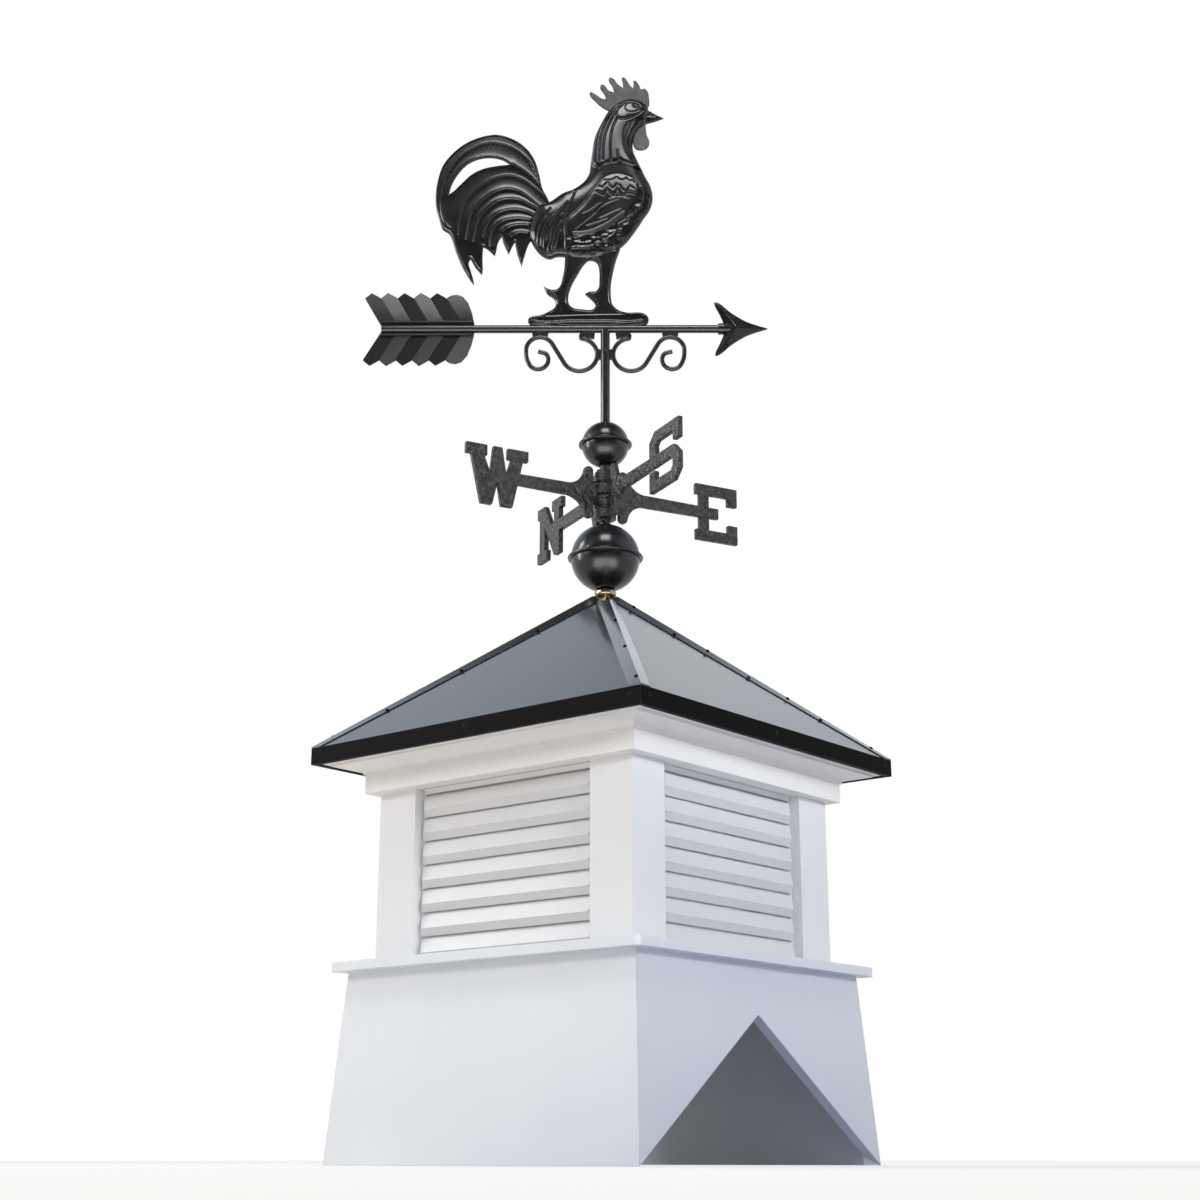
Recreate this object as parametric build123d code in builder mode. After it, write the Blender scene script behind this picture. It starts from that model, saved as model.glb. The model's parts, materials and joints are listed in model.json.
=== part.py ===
from build123d import *
from math import cos, radians, sin, sqrt, tan
import os

# A barn cupola with a rooster weathervane. The origin is the middle of its foot on the
# floor, +Z is up, the front is -Y and the barn's ridge runs along X. Sizes in millimetres.

# Body: four corner posts, whose spread sets the width of the whole cupola
post_half = 173.8           # axis to the outer face of a post
post_width = 52.8
board = 12.7                # half inch board, for walls and posts
body_height = 181.4         # sill to frieze
fit_gap = 0.3

# Saddle base that straddles the ridge
base_height = 195.9
base_lean = 13.4            # how far the foot stands out beyond the top
ridge_slope = 35.0          # pitch of the barn roof that the base is cut for, degrees

# Sill
sill_reach = 34.0           # beyond the posts
sill_nosing = 14.4          # beyond the top of the base
sill_lap = 13.1             # inside the posts
sill_height = 9.7
sill_corner = 6.0

# Louvered vents
louver_count = 7
louver_sill_rise = 23.9     # sill to the lowest slot
louver_head_drop = 6.3      # highest slot to the frieze
louver_nose = 7.0           # how far a blade stands out of the panel
louver_bevel = 8.6          # height of the overhang above a slot
louver_skin = 3.0           # wall of the moulded panel
louver_slot = 2.6
louver_rim = 1.6            # solid kept above and below a slot, inside
louver_margin = 1.5         # flat of the panel beside the blades
louver_taper = 5.5          # how far a blade's end runs back over its depth
louver_jamb = 2.6           # solid margin at each end of a slot
panel_lap = 14.0            # how far the panel laps behind a post
panel_head = 13.0           # how far the panel runs up behind the frieze

# Frieze and crown moulding
frieze_thickness = 12.2
frieze_height = 21.0        # part that shows below the crown
crown_height = 11.2
crown_fillet = 2.2
crown_reach = 27.0          # beyond the frieze
crown_lip = 2.6
crown_tangents = [(-0.4, 1), (-1, 0.2)]    # of its curve, at the foot and at the lip

# Eaves and roof
eaves_reveal = 15.6         # beyond the crown
roof_slope = 39.0           # degrees from level
roof_sheet = 1.6            # folded panel, with its hem
cap_hem = 1.2               # thickness of a hip cap's hemmed edges
cap_reach = 10.6            # half width of a hip cap
cap_foot = 1.2              # how far a cap's ridge stands off its hip at the eaves
cap_peak = 6.2              # the same at the peak, where the cap is bent sharper
peak_cut = 1.9              # how far the peak is cut down for the collar
seam = 0.4                  # gap between sheets that meet but aren't joined
drip_sheet = 1.2
drip_depth = 18.2
drip_hem = 6.6

# Spindle, balls and direction hub
rod_radius = 4.0
rod_clearance = 0.05
rod_socket = 14.0           # how deep the rod stands in the roof base
collar_radius = 12.4
collar_height = 6.8
collar_round = 2.6
neck_radius = 6.15
lower_ball_radius = 39.5
upper_ball_radius = 27.4
ball_flange_reach = 3.8
ball_flange_half = 1.7
ball_flange_lap = 1.0       # how far the flange is rolled round and let into the ball
hub_neck = 7.9
hub_neck_top = 5.9
hub_height = 59.4
hub_radius = 12.6
hub_groove = 2.2
hub_groove_height = 3.4
hub_knuckles = 4

# Direction arms and letters
arm_reach = 176.5           # axis to the far edge of a letter
arm_thickness = 6.0
arm_root_half = 14.0        # half height of the root beside the hub
arm_anchor_half = 26.0      # half height of the anchor, to the middles of its lobes
arm_anchor_reach = 22.4     # axis to the middle of the anchor
arm_lobe = 5.6
arm_flare = 26.0            # length of the curve from the anchor to the bar
arm_waist_reach = 7.3       # the same to the curve's middle
arm_waist_half = 13.4       # half height of the arm there
arm_bar_root = 7.4          # half heights of the bar at its root and at its letter
arm_bar_tip = 6.5
arm_first_turn = 66.5       # turn of the east arm from +X, degrees
letter_grid = 1.0           # one unit of the grid that the letters are drawn on

# Turning vane
vane_yaw = 39.13            # the arrow's turn from +X at rest, degrees
sleeve_radius = 5.5
sleeve_gap = 1.1            # above the upper ball
sleeve_height = 119.7       # up to the middle of the arrow's shaft
sleeve_cap = 3.4
tip_gap = 0.3
shaft_radius = 4.75
shaft_tail = 266.0
head_start = 134.0
head_socket = 7.5
head_length = 59.0
head_barb_half = 34.5
head_barb_back = 4.5        # how far the barbs trail behind the socket
head_hollow = 5.0           # how far the head's back edge curves in
head_cheek = 3.0            # how far its front edges curve in
head_plate = 5.0
head_socket_radius = 6.8
head_ridge_end = 14.0       # tip to the end of the ridge

# Fletching
band_width = 19.5
band_count = 5
band_tip = 8.0              # a band's point, measured from its rear corner
band_point = 7.0            # how far the points stand above the bands' corners
fletch_half = 40.0
fletch_lean = 21.0          # how far a band's outer end stands behind its root
fletch_front = 155.0        # axis to the front of the fletching
fletch_curl = 10.0          # how far the front lobe stands ahead of the last band
fletch_shoulder = (7.0, 27.0)    # where the lobe turns down: behind the front, and half height
tail_plate = 3.2
tail_band = 1.4             # relief of every second band

# Scrolls
scroll_radius = 2.6
scroll_round = 21.0
scroll_middle = (-30.5, -33.0)
scroll_start = 80.0         # degrees round the first curve
scroll_turns = {"round": -230, "crest": 150, "ease": 30, "curl": 180, "hook": 45}
scroll_run = 28.5
scroll_crest = 16.5
scroll_drop = 3.5
scroll_ease = 30.0
scroll_curl = 12.0
scroll_hook = 6.0
scroll_end = 10.0
scroll_pad = 20.0           # length of the pad between the crest and the shaft
scroll_lug = 13.0           # height of the lug between the first round and the sleeve

# Rooster
rooster_grid = 1.0          # one unit of the grid that its outlines are drawn on
rooster_foot = 3.2          # underside of the base, above the shaft's middle
plate_half = 2.4            # tail
leg_half = 3.8
comb_half = 1.7
body_half = 9.5
body_steps = ((0, 0), (6.0, 1.8), (body_half, 8.5))
rib_width = 1.7
rib_rise = 1.0
wing_rise = 1.6
covert_rise = 0.7
feather_bow = 0.11          # how far a feather or a comb's point curves, per length

# Levels and widths worked out from the sizes above
post_inner = post_half - board
opening_half = post_half - post_width
sill_half = post_half + sill_reach
base_top_half = sill_half - sill_nosing
base_foot_half = base_top_half + base_lean
ridge_peak = base_foot_half * tan(radians(ridge_slope))
frieze_half = post_half + frieze_thickness
crown_outer = frieze_half + crown_reach
eaves_half = crown_outer + eaves_reveal
sill_top = base_height + sill_height
frieze_bottom = sill_top + body_height
crown_bottom = frieze_bottom + frieze_height
soffit = crown_bottom + crown_height
drip_bottom = soffit - drip_sheet
drip_top = drip_bottom + drip_depth
roof_rise = tan(radians(roof_slope))
roof_apex = drip_top + eaves_half * roof_rise
panel_rise = roof_sheet / cos(radians(roof_slope))
panel_run = roof_sheet / sin(radians(roof_slope))
collar_bottom = roof_apex - peak_cut
collar_top = collar_bottom + collar_height


def seat_height(radius):
    """Half height of a ball that is cut flat where a neck meets it."""
    return sqrt(radius ** 2 - neck_radius ** 2)


lower_ball_middle = collar_top + seat_height(lower_ball_radius)
hub_foot = lower_ball_middle + seat_height(lower_ball_radius)
hub_bottom = hub_foot + hub_neck
hub_middle = hub_bottom + hub_height / 2
hub_head = hub_bottom + hub_height + hub_neck_top
upper_ball_middle = hub_head + seat_height(upper_ball_radius)
upper_ball_top = upper_ball_middle + seat_height(upper_ball_radius)
sleeve_bottom = upper_ball_top + sleeve_gap
shaft_height = sleeve_bottom + sleeve_height
rod_bottom = drip_top - rod_socket
rod_tip = shaft_height - shaft_radius - sleeve_cap - tip_gap

turns = {"front": 0, "right": 90, "back": 180, "left": 270}
corner_turns = {"front_left": 0, "front_right": 90, "back_right": 180, "back_left": 270}

os.makedirs("parts", exist_ok=True)


def save(piece, name):
    """Label a finished piece and write its file."""
    piece.part.label = name
    export_step(piece.part, f"parts/{name}.step")


def save_turned(piece, base_name, places):
    """Write a copy of a piece at each side or corner of the square."""
    for place, turn in places.items():
        with BuildPart() as turned:
            add(piece.part, rotation=(0, 0, turn))
        save(turned, f"{base_name}_{place}")


def mitre(gap=0.0):
    """Cut the front side of a square ring to 45 degrees at both corners."""
    for side in (1, -1):
        back = -gap / 2 / sqrt(2)
        split(bisect_by=Plane(origin=(side * back, back, 0), z_dir=(side, 1, 0)), keep=Keep.BOTTOM)


def spindle_hole(middle, clearance=rod_clearance):
    """Bore a piece through for the spindle rod that it is threaded on."""
    with Locations((0, 0, middle)):
        Hole(rod_radius + clearance)


def on_grid(points, unit, start=0.0):
    """Turn grid points into millimetres, with the grid's own zero at a start."""
    return [(start + x * unit, y * unit) for x, y in points]


# Base walls. They lean in, and the two on the ridge's ends are notched to sit over it.
with BuildPart() as plain_wall:
    with BuildSketch(Plane.YZ):
        Polygon(
            (-base_foot_half, 0),
            (-base_top_half, base_height),
            (-base_top_half + board, base_height),
            (-base_foot_half + board, 0),
            align=None,
        )
    extrude(amount=base_foot_half, both=True)
    mitre()
for place in ("front", "back"):
    save_turned(plain_wall, "base_wall", {place: turns[place]})

with BuildPart() as notched_wall:
    add(plain_wall.part)
    with BuildSketch(Plane.XZ):
        Polygon((-base_foot_half, 0), (0, ridge_peak), (base_foot_half, 0), align=None)
    extrude(amount=base_foot_half, mode=Mode.SUBTRACT)
for place in ("right", "left"):
    save_turned(notched_wall, "base_wall", {place: turns[place]})

# Sill. One ring of board with eased corners.
with BuildPart() as sill:
    with BuildSketch(Plane.XY.offset(base_height)):
        RectangleRounded(2 * sill_half, 2 * sill_half, sill_corner)
        Rectangle(2 * (post_inner - sill_lap), 2 * (post_inner - sill_lap), mode=Mode.SUBTRACT)
    extrude(amount=sill_height)
save(sill, "sill")

# Corner posts. Each is two boards joined in an L.
with BuildPart() as corner_post:
    with BuildSketch(Plane.XY.offset(sill_top)):
        Polygon(
            (-post_half, -post_half),
            (-opening_half, -post_half),
            (-opening_half, -post_inner),
            (-post_inner, -post_inner),
            (-post_inner, -opening_half),
            (-post_half, -opening_half),
            align=None,
        )
    extrude(amount=soffit - sill_top)
save_turned(corner_post, "post", corner_turns)

# Louvered vents. One moulded panel closes each opening. Its skin folds out over every
# blade, back under the blade's nose to an air slot, and closes both ends of the blade.
# The slots fall outward at 45 degrees, so that they shed water and hide the inside.
blade_half = opening_half - fit_gap - louver_margin
blade_top = frieze_bottom - fit_gap
panel_top = frieze_bottom + panel_head
face = -post_inner
nose_face = face - louver_nose
back_face = face + louver_skin
louver_pitch = (body_height - louver_sill_rise - louver_head_drop) / (louver_count - 1)
slots = [sill_top + louver_sill_rise + louver_pitch * i for i in range(louver_count)]
noses = [slot - louver_pitch + louver_bevel for slot in slots]


def blade_ends(side_gap=0.0):
    """Slant both ends of the blades back from the panel to the nose."""
    for side in (1, -1):
        end = (side * (blade_half - side_gap), face, 0)
        slant = (side * louver_nose, -louver_taper, 0)
        split(bisect_by=Plane(origin=end, z_dir=slant), keep=Keep.BOTTOM)


with BuildPart() as blades:
    with BuildSketch(Plane.YZ):
        with BuildLine():
            line = [(face, sill_top)]
            for nose, slot in zip(noses, slots):
                line += [(nose_face, nose), (face, slot)]
            head_depth = louver_nose * (blade_top - slots[-1]) / louver_bevel
            line += [(face - head_depth, blade_top), (back_face, blade_top), (back_face, sill_top)]
            Polyline(*line, close=True)
        make_face()
    extrude(amount=opening_half, both=True)
    blade_ends()

with BuildPart() as blade_hollows:
    with BuildSketch(Plane.YZ):
        for i, nose in enumerate(noses):
            low = slots[i - 1] + louver_rim if i else sill_top + louver_skin
            Polygon((back_face, low), (nose_face + louver_skin, nose), (back_face, slots[i] - louver_rim),
                    align=None)
    extrude(amount=opening_half, both=True)
    blade_ends(louver_skin)

with BuildPart() as louver:
    with BuildSketch(Plane.XZ.offset(-back_face)):
        with Locations((0, (sill_top + panel_top) / 2)):
            Rectangle(2 * (opening_half + panel_lap), panel_top - sill_top)
    extrude(amount=louver_skin)
    add(blades.part)
    add(blade_hollows.part, mode=Mode.SUBTRACT)
    with BuildSketch(Plane.XZ.offset(-back_face)):
        with Locations(*[(0, slot + louver_skin) for slot in slots]):
            SlotOverall(2 * (blade_half - louver_jamb), louver_slot)
    extrude(amount=2 * louver_skin, dir=(0, -1, -1), mode=Mode.SUBTRACT)
save_turned(louver, "louver", turns)

# Frieze boards, with a tongue that closes the head of the opening between the posts.
with BuildPart() as frieze:
    with BuildSketch(Plane.YZ):
        Polygon(
            (-frieze_half, frieze_bottom),
            (-post_half, frieze_bottom),
            (-post_half, soffit),
            (-frieze_half, soffit),
            align=None,
        )
    extrude(amount=frieze_half, both=True)
    mitre()
    with BuildSketch(Plane.XZ.offset(post_inner)):
        with Locations((0, (frieze_bottom + soffit) / 2)):
            Rectangle(2 * opening_half, soffit - frieze_bottom)
    extrude(amount=board)
save_turned(frieze, "frieze", turns)

# Crown moulding: a fillet, a hollow and a round, and a lip under the soffit.
with BuildPart() as crown:
    with BuildSketch(Plane.YZ):
        with BuildLine():
            foot = (-frieze_half - crown_fillet, crown_bottom)
            step = (-frieze_half - crown_fillet, crown_bottom + crown_fillet)
            lip = (-crown_outer + crown_lip, soffit - crown_lip)
            Polyline((-frieze_half, soffit), (-frieze_half, crown_bottom), foot, step)
            Spline(step, lip, tangents=crown_tangents)
            Polyline(lip, (-crown_outer, soffit - crown_lip), (-crown_outer, soffit), (-frieze_half, soffit))
        make_face()
    extrude(amount=crown_outer, both=True)
    mitre()
save_turned(crown, "crown", turns)

# Roof base. The board that the roof is nailed to; the spindle stands in it.
board_half = eaves_half - drip_sheet
with BuildPart() as roof_base:
    with BuildSketch(Plane.XY.offset(soffit)):
        Rectangle(2 * board_half, 2 * board_half)
    extrude(amount=drip_top - soffit)
    with BuildSketch(Plane.XY.offset(rod_bottom)):
        Circle(rod_radius + rod_clearance)
    extrude(amount=rod_socket, mode=Mode.SUBTRACT)
save(roof_base, "roof_base")

# Drip edges, folded under at the bottom, with an open seam at each corner.
with BuildPart() as drip_edge:
    with BuildSketch(Plane.YZ):
        Polygon(
            (-eaves_half, drip_bottom),
            (-eaves_half + drip_hem, drip_bottom),
            (-eaves_half + drip_hem, soffit),
            (-board_half, soffit),
            (-board_half, drip_top),
            (-eaves_half, drip_top),
            align=None,
        )
    extrude(amount=eaves_half, both=True)
    mitre(seam)
with BuildPart() as drip_edges:
    for turn in turns.values():
        add(drip_edge.part, rotation=(0, 0, turn))
save(drip_edges, "drip_edges")

# Roof panels, holed at the peak for the spindle.
with BuildPart() as roof_panel:
    with BuildSketch(Plane.YZ):
        Polygon(
            (-eaves_half, drip_top),
            (-eaves_half + panel_run, drip_top),
            (0, roof_apex - panel_rise),
            (0, roof_apex),
            align=None,
        )
    extrude(amount=eaves_half, both=True)
    mitre()
    split(bisect_by=Plane.XY.offset(collar_bottom), keep=Keep.BOTTOM)
    spindle_hole(roof_apex, fit_gap)
save_turned(roof_panel, "roof_panel", turns)

# Hip caps. Each is an angle strip whose ridge stands off the hip, low at the eaves and
# sharper at the peak, where it is cut flat under the collar.
eaves_corner = Vector(eaves_half, -eaves_half, drip_top)
peak_point = Vector(0, 0, roof_apex)
hip = (peak_point - eaves_corner).normalized()
abreast = Vector(1, 1, 0).normalized()
off_roof = abreast.cross(hip)
roof_normal = Vector(0, -sin(radians(roof_slope)), cos(radians(roof_slope)))
cap_edge = -cap_reach * abs(roof_normal.dot(abreast)) / roof_normal.dot(off_roof)
with BuildPart() as hip_cap:
    for end, overrun, ridge in ((eaves_corner, -cap_reach, cap_foot), (peak_point, cap_reach, cap_peak)):
        with BuildSketch(Plane(origin=end + hip * overrun, x_dir=abreast, z_dir=-hip)):
            Polygon((0, ridge), (cap_reach, cap_edge + cap_hem), (cap_reach, cap_edge), (0, 0),
                    (-cap_reach, cap_edge), (-cap_reach, cap_edge + cap_hem), align=None)
    loft(ruled=True)
    for side, facing in ((eaves_half, Keep.BOTTOM), (seam / 2, Keep.TOP)):
        split(bisect_by=Plane(origin=(side, 0, 0), z_dir=(1, 0, 0)), keep=facing)
        split(bisect_by=Plane(origin=(0, -side, 0), z_dir=(0, -1, 0)), keep=facing)
    split(bisect_by=Plane.XY.offset(collar_bottom), keep=Keep.BOTTOM)
    spindle_hole(roof_apex, fit_gap)
with BuildPart() as hip_caps:
    for turn in turns.values():
        add(hip_cap.part, rotation=(0, 0, turn))
save(hip_caps, "hip_caps")

# Collar on the peak.
with BuildPart() as vane_collar:
    with BuildSketch(Plane.XY.offset(collar_bottom)):
        Circle(collar_radius)
    extrude(amount=collar_height)
    fillet(vane_collar.edges(), collar_round)
    spindle_hole(collar_bottom)
save(vane_collar, "vane_collar")


# Spacer balls. Each is two spun halves that meet in a rolled flange.
def spacer_ball(radius, middle):
    bead = radius + ball_flange_reach - ball_flange_lap
    seat = radius - ball_flange_lap
    high = middle + ball_flange_half
    low = middle - ball_flange_half
    with BuildPart() as ball:
        with BuildSketch(Plane.XZ):
            with BuildLine():
                flat = seat_height(radius)
                Polyline((neck_radius, middle + flat), (0, middle + flat), (0, middle - flat),
                         (neck_radius, middle - flat))
                ThreePointArc((neck_radius, middle - flat), (radius, middle), (neck_radius, middle + flat))
            make_face()
            with BuildLine():
                Polyline((seat, high), (seat, low), (bead, low))
                ThreePointArc((bead, low), (bead + ball_flange_lap, middle), (bead, high))
                Line((bead, high), (seat, high))
            make_face()
        revolve(axis=Axis.Z)
        spindle_hole(middle)
    return ball


save(spacer_ball(lower_ball_radius, lower_ball_middle), "lower_ball")
save(spacer_ball(upper_ball_radius, upper_ball_middle), "upper_ball")

# Direction hub: stacked knuckles between two necks.
knuckle = hub_height / hub_knuckles
with BuildPart() as direction_hub:
    with BuildSketch(Plane.XY.offset(hub_foot)):
        Circle(neck_radius)
    extrude(amount=hub_head - hub_foot)
    for i in range(hub_knuckles):
        with BuildSketch(Plane.XY.offset(hub_bottom + knuckle * i)):
            Circle(hub_radius)
        extrude(amount=knuckle - hub_groove_height)
        with BuildSketch(Plane.XY.offset(hub_bottom + knuckle * (i + 1) - hub_groove_height)):
            Circle(hub_radius - hub_groove)
        extrude(amount=hub_groove_height)
    spindle_hole(hub_middle)
save(direction_hub, "direction_hub")

# Letters with slab serifs, drawn upright on a grid 70 units high whose zero is at the
# middle of the letter's left edge. Each is (outline, width).
letter_e = (
    [
        (0, 35), (57, 35), (57, 12), (44, 12), (44, 22), (18, 22), (18, 6.5), (31, 6.5), (31, -6.5),
        (18, -6.5), (18, -22), (44, -22), (44, -12), (57, -12), (57, -35), (0, -35), (0, -22), (5, -22),
        (5, 22), (0, 22),
    ],
    57,
)
letter_n = (
    [
        (0, 35), (20, 35), (46, -8), (46, 22), (40, 22), (40, 35), (66, 35), (66, 22), (60, 22),
        (60, -35), (46, -35), (20, 8), (20, -22), (26, -22), (26, -35), (0, -35), (0, -22), (6, -22),
        (6, 22), (0, 22),
    ],
    66,
)
letter_s = (
    [
        (66, 35), (66, 11), (53, 11), (53, 22), (18, 22), (14, 18), (14, 10), (18, 6.5), (54, 6.5),
        (66, -5), (66, -24), (54, -35), (0, -35), (0, -11), (13, -11), (13, -22), (48, -22), (52, -18),
        (52, -10), (48, -6.5), (12, -6.5), (0, 5), (0, 24), (12, 35),
    ],
    66,
)
letter_w = (
    [
        (0, 35), (26, 35), (26, 22), (22.5, 22), (30, 3), (33.5, 35), (44.5, 35), (50, 3), (55.5, 22),
        (51, 22), (51, 35), (77, 35), (77, 22), (70.5, 22), (58, -35), (44, -35), (39.2, -8), (33, -35),
        (19, -35), (6.5, 22), (0, 22),
    ],
    77,
)


def direction_arm(turn, letter, outward):
    """A cast arm: a root in the hub, an anchor with two lobes, a bar and its letter.

    The plane's x axis points to the reader's right, and outward is 1 where the arm
    points that way and -1 where it points the other way."""
    right = Vector(cos(radians(turn)), sin(radians(turn)), 0) * outward
    plane = Plane(origin=(0, 0, hub_middle), x_dir=right, z_dir=(right.Y, -right.X, 0))
    outline, width = letter
    letter_left = arm_reach - width * letter_grid if outward > 0 else -arm_reach
    anchor = outward * arm_anchor_reach
    shoulder = outward * (arm_anchor_reach + arm_lobe)
    bar_start = shoulder + outward * arm_flare
    bar_end = outward * (arm_reach - width * letter_grid / 2)
    with BuildPart() as arm:
        with BuildSketch(plane):
            with BuildLine():
                for side in (1, -1):
                    ThreePointArc(
                        (shoulder, side * arm_anchor_half),
                        (shoulder + outward * arm_waist_reach, side * arm_waist_half),
                        (bar_start, side * arm_bar_root),
                    )
                Line((bar_start, arm_bar_root), (bar_start, -arm_bar_root))
                Line((shoulder, arm_anchor_half), (shoulder, -arm_anchor_half))
            make_face()
            Polygon((bar_start, arm_bar_root), (bar_end, arm_bar_tip), (bar_end, -arm_bar_tip),
                    (bar_start, -arm_bar_root), align=None)
            with Locations((anchor, 0)):
                SlotCenterToCenter(2 * arm_anchor_half, 2 * arm_lobe, rotation=90)
            with Locations((anchor / 2, 0)):
                Rectangle(arm_anchor_reach, 2 * arm_root_half)
            with BuildLine():
                Polyline(*on_grid(outline, letter_grid, letter_left), close=True)
            make_face()
        extrude(amount=arm_thickness / 2, both=True)
        with BuildSketch(Plane.XY.offset(hub_foot)):
            Circle(hub_radius)
        extrude(amount=hub_head - hub_foot, mode=Mode.SUBTRACT)
    return arm


arms = {"east": (letter_e, 1), "north": (letter_n, -1), "west": (letter_w, -1), "south": (letter_s, 1)}
for quarter, (place, (letter, outward)) in enumerate(arms.items()):
    save(direction_arm(arm_first_turn + 90 * quarter, letter, outward), f"arm_{place}")

# Spindle rod, fixed in the roof base. The vane's sleeve turns on its tip.
with BuildPart() as spindle_rod:
    with BuildSketch(Plane.XY.offset(rod_bottom)):
        Circle(rod_radius)
    extrude(amount=rod_tip - rod_bottom)
save(spindle_rod, "spindle_rod")

# The vane is drawn in its own upright plane: x along the arrow, y up from the shaft.
along = Vector(cos(radians(vane_yaw)), sin(radians(vane_yaw)), 0)
vane_plane = Plane(origin=(0, 0, shaft_height), x_dir=along, z_dir=(along.Y, -along.X, 0))


def shaft_plane(distance):
    """The plane square to the arrow at a distance ahead of the spindle's axis."""
    return Plane(origin=vane_plane.origin + along * distance, z_dir=along)


def shaft_hole():
    """Cut the arrow's shaft out of a piece that seats on it."""
    with Locations(shaft_plane(-shaft_tail).location):
        Cylinder(
            shaft_radius,
            shaft_tail + head_start,
            align=(Align.CENTER, Align.CENTER, Align.MIN),
            mode=Mode.SUBTRACT,
        )


# Sleeve, closed at the top by the cap that rides on the rod's tip.
with BuildPart() as vane_sleeve:
    with BuildSketch(Plane.XY.offset(sleeve_bottom)):
        Circle(sleeve_radius)
    extrude(amount=sleeve_height)
    with BuildSketch(Plane.XY.offset(sleeve_bottom)):
        Circle(rod_radius + rod_clearance)
    extrude(amount=rod_tip + tip_gap - sleeve_bottom, mode=Mode.SUBTRACT)
    shaft_hole()
save(vane_sleeve, "vane_sleeve")


# Fletching: one plate, set in a slot in the shaft, with every second band raised.
def band_corner(i, height):
    """A point on the rear edge of band i, at a height above or below the shaft."""
    lean = fletch_lean * (abs(height) - shaft_radius) / (fletch_half - shaft_radius)
    return (-shaft_tail + band_width * i - lean, height)


def band_peak(i, sign):
    """The point of band i."""
    corner = band_corner(i, sign * fletch_half)
    return (corner[0] + band_tip, sign * (fletch_half + band_point))


with BuildPart() as arrow_tail:
    with BuildSketch(vane_plane):
        for sign in (1, -1):
            with BuildLine():
                points = [(-shaft_tail, 0), (-shaft_tail, sign * shaft_radius)]
                for i in range(band_count):
                    points += [band_corner(i, sign * fletch_half), band_peak(i, sign)]
                last = band_corner(band_count, sign * fletch_half)
                Polyline(*points, last)
                crest = (last[0] + fletch_curl, sign * (fletch_half + band_point / 2))
                shoulder = (-fletch_front - fletch_shoulder[0], sign * fletch_shoulder[1])
                Spline(last, crest, shoulder, (-fletch_front, 0))
                Line((-fletch_front, 0), (-shaft_tail, 0))
            make_face()
    extrude(amount=tail_plate / 2, both=True)
    with BuildSketch(vane_plane):
        for sign in (1, -1):
            for i in range(1, band_count, 2):
                Polygon(
                    band_corner(i, sign * 2 * shaft_radius),
                    band_corner(i, sign * fletch_half),
                    band_peak(i, sign),
                    band_corner(i + 1, sign * fletch_half),
                    band_corner(i + 1, sign * 2 * shaft_radius),
                    align=None,
                )
    extrude(amount=tail_plate / 2 + tail_band, both=True)
save(arrow_tail, "arrow_tail")

# Shaft, slotted at its tail for the fletching and set in the head's socket.
with BuildPart() as arrow_shaft:
    with BuildSketch(shaft_plane(-shaft_tail)):
        Circle(shaft_radius)
    extrude(amount=shaft_tail + head_start + head_socket)
    with BuildSketch(vane_plane):
        with Locations((-(shaft_tail + fletch_front) / 2, 0)):
            Rectangle(shaft_tail - fletch_front, 2 * shaft_radius)
    extrude(amount=tail_plate / 2, both=True, mode=Mode.SUBTRACT)
save(arrow_shaft, "arrow_shaft")

# Arrow head: a barbed plate with a cone that tapers from the socket.
head_notch = head_start + head_socket
head_tip = head_start + head_length
with BuildPart() as arrow_head:
    with BuildSketch(vane_plane):
        for sign in (1, -1):
            corner = (head_notch, sign * head_socket_radius)
            barb = (head_start - head_barb_back, sign * head_barb_half)
            with BuildLine():
                Polyline((head_tip, 0), (head_notch, 0), corner)
                SagittaArc(corner, barb, -sign * head_hollow)
                SagittaArc(barb, (head_tip, 0), sign * head_cheek)
            make_face()
    extrude(amount=head_plate / 2, both=True)
    with BuildSketch(shaft_plane(head_start)):
        Circle(head_socket_radius)
    extrude(amount=head_socket)
    with BuildSketch(shaft_plane(head_notch)):
        Circle(head_socket_radius)
    with BuildSketch(shaft_plane(head_tip - head_ridge_end)):
        Circle(head_plate / 2)
    loft()
    with BuildSketch(shaft_plane(head_start)):
        Circle(shaft_radius)
    extrude(amount=head_socket, mode=Mode.SUBTRACT)
save(arrow_head, "arrow_head")


# Scrolls. Each is one bent bar: a round under the shaft against the sleeve, a straight
# and a curl, with a pad under the shaft and a lug on the sleeve.
def scroll_path():
    """Draw the bar's middle line and return the point at its crest."""
    angle = radians(scroll_start)
    start = (
        scroll_middle[0] + scroll_round * cos(angle),
        scroll_middle[1] + scroll_round * sin(angle),
    )
    bend = JernArc(start, (sin(angle), -cos(angle)), scroll_round, scroll_turns["round"])
    run = PolarLine(bend @ 1, scroll_run, direction=bend % 1)
    crest = JernArc(run @ 1, run % 1, scroll_crest, scroll_turns["crest"])
    drop = PolarLine(crest @ 1, scroll_drop, direction=crest % 1)
    ease = JernArc(drop @ 1, drop % 1, scroll_ease, scroll_turns["ease"])
    curl = JernArc(ease @ 1, ease % 1, scroll_curl, scroll_turns["curl"])
    hook = JernArc(curl @ 1, curl % 1, scroll_hook, scroll_turns["hook"])
    PolarLine(hook @ 1, scroll_end, direction=hook % 1)
    return crest @ 0.5


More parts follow.
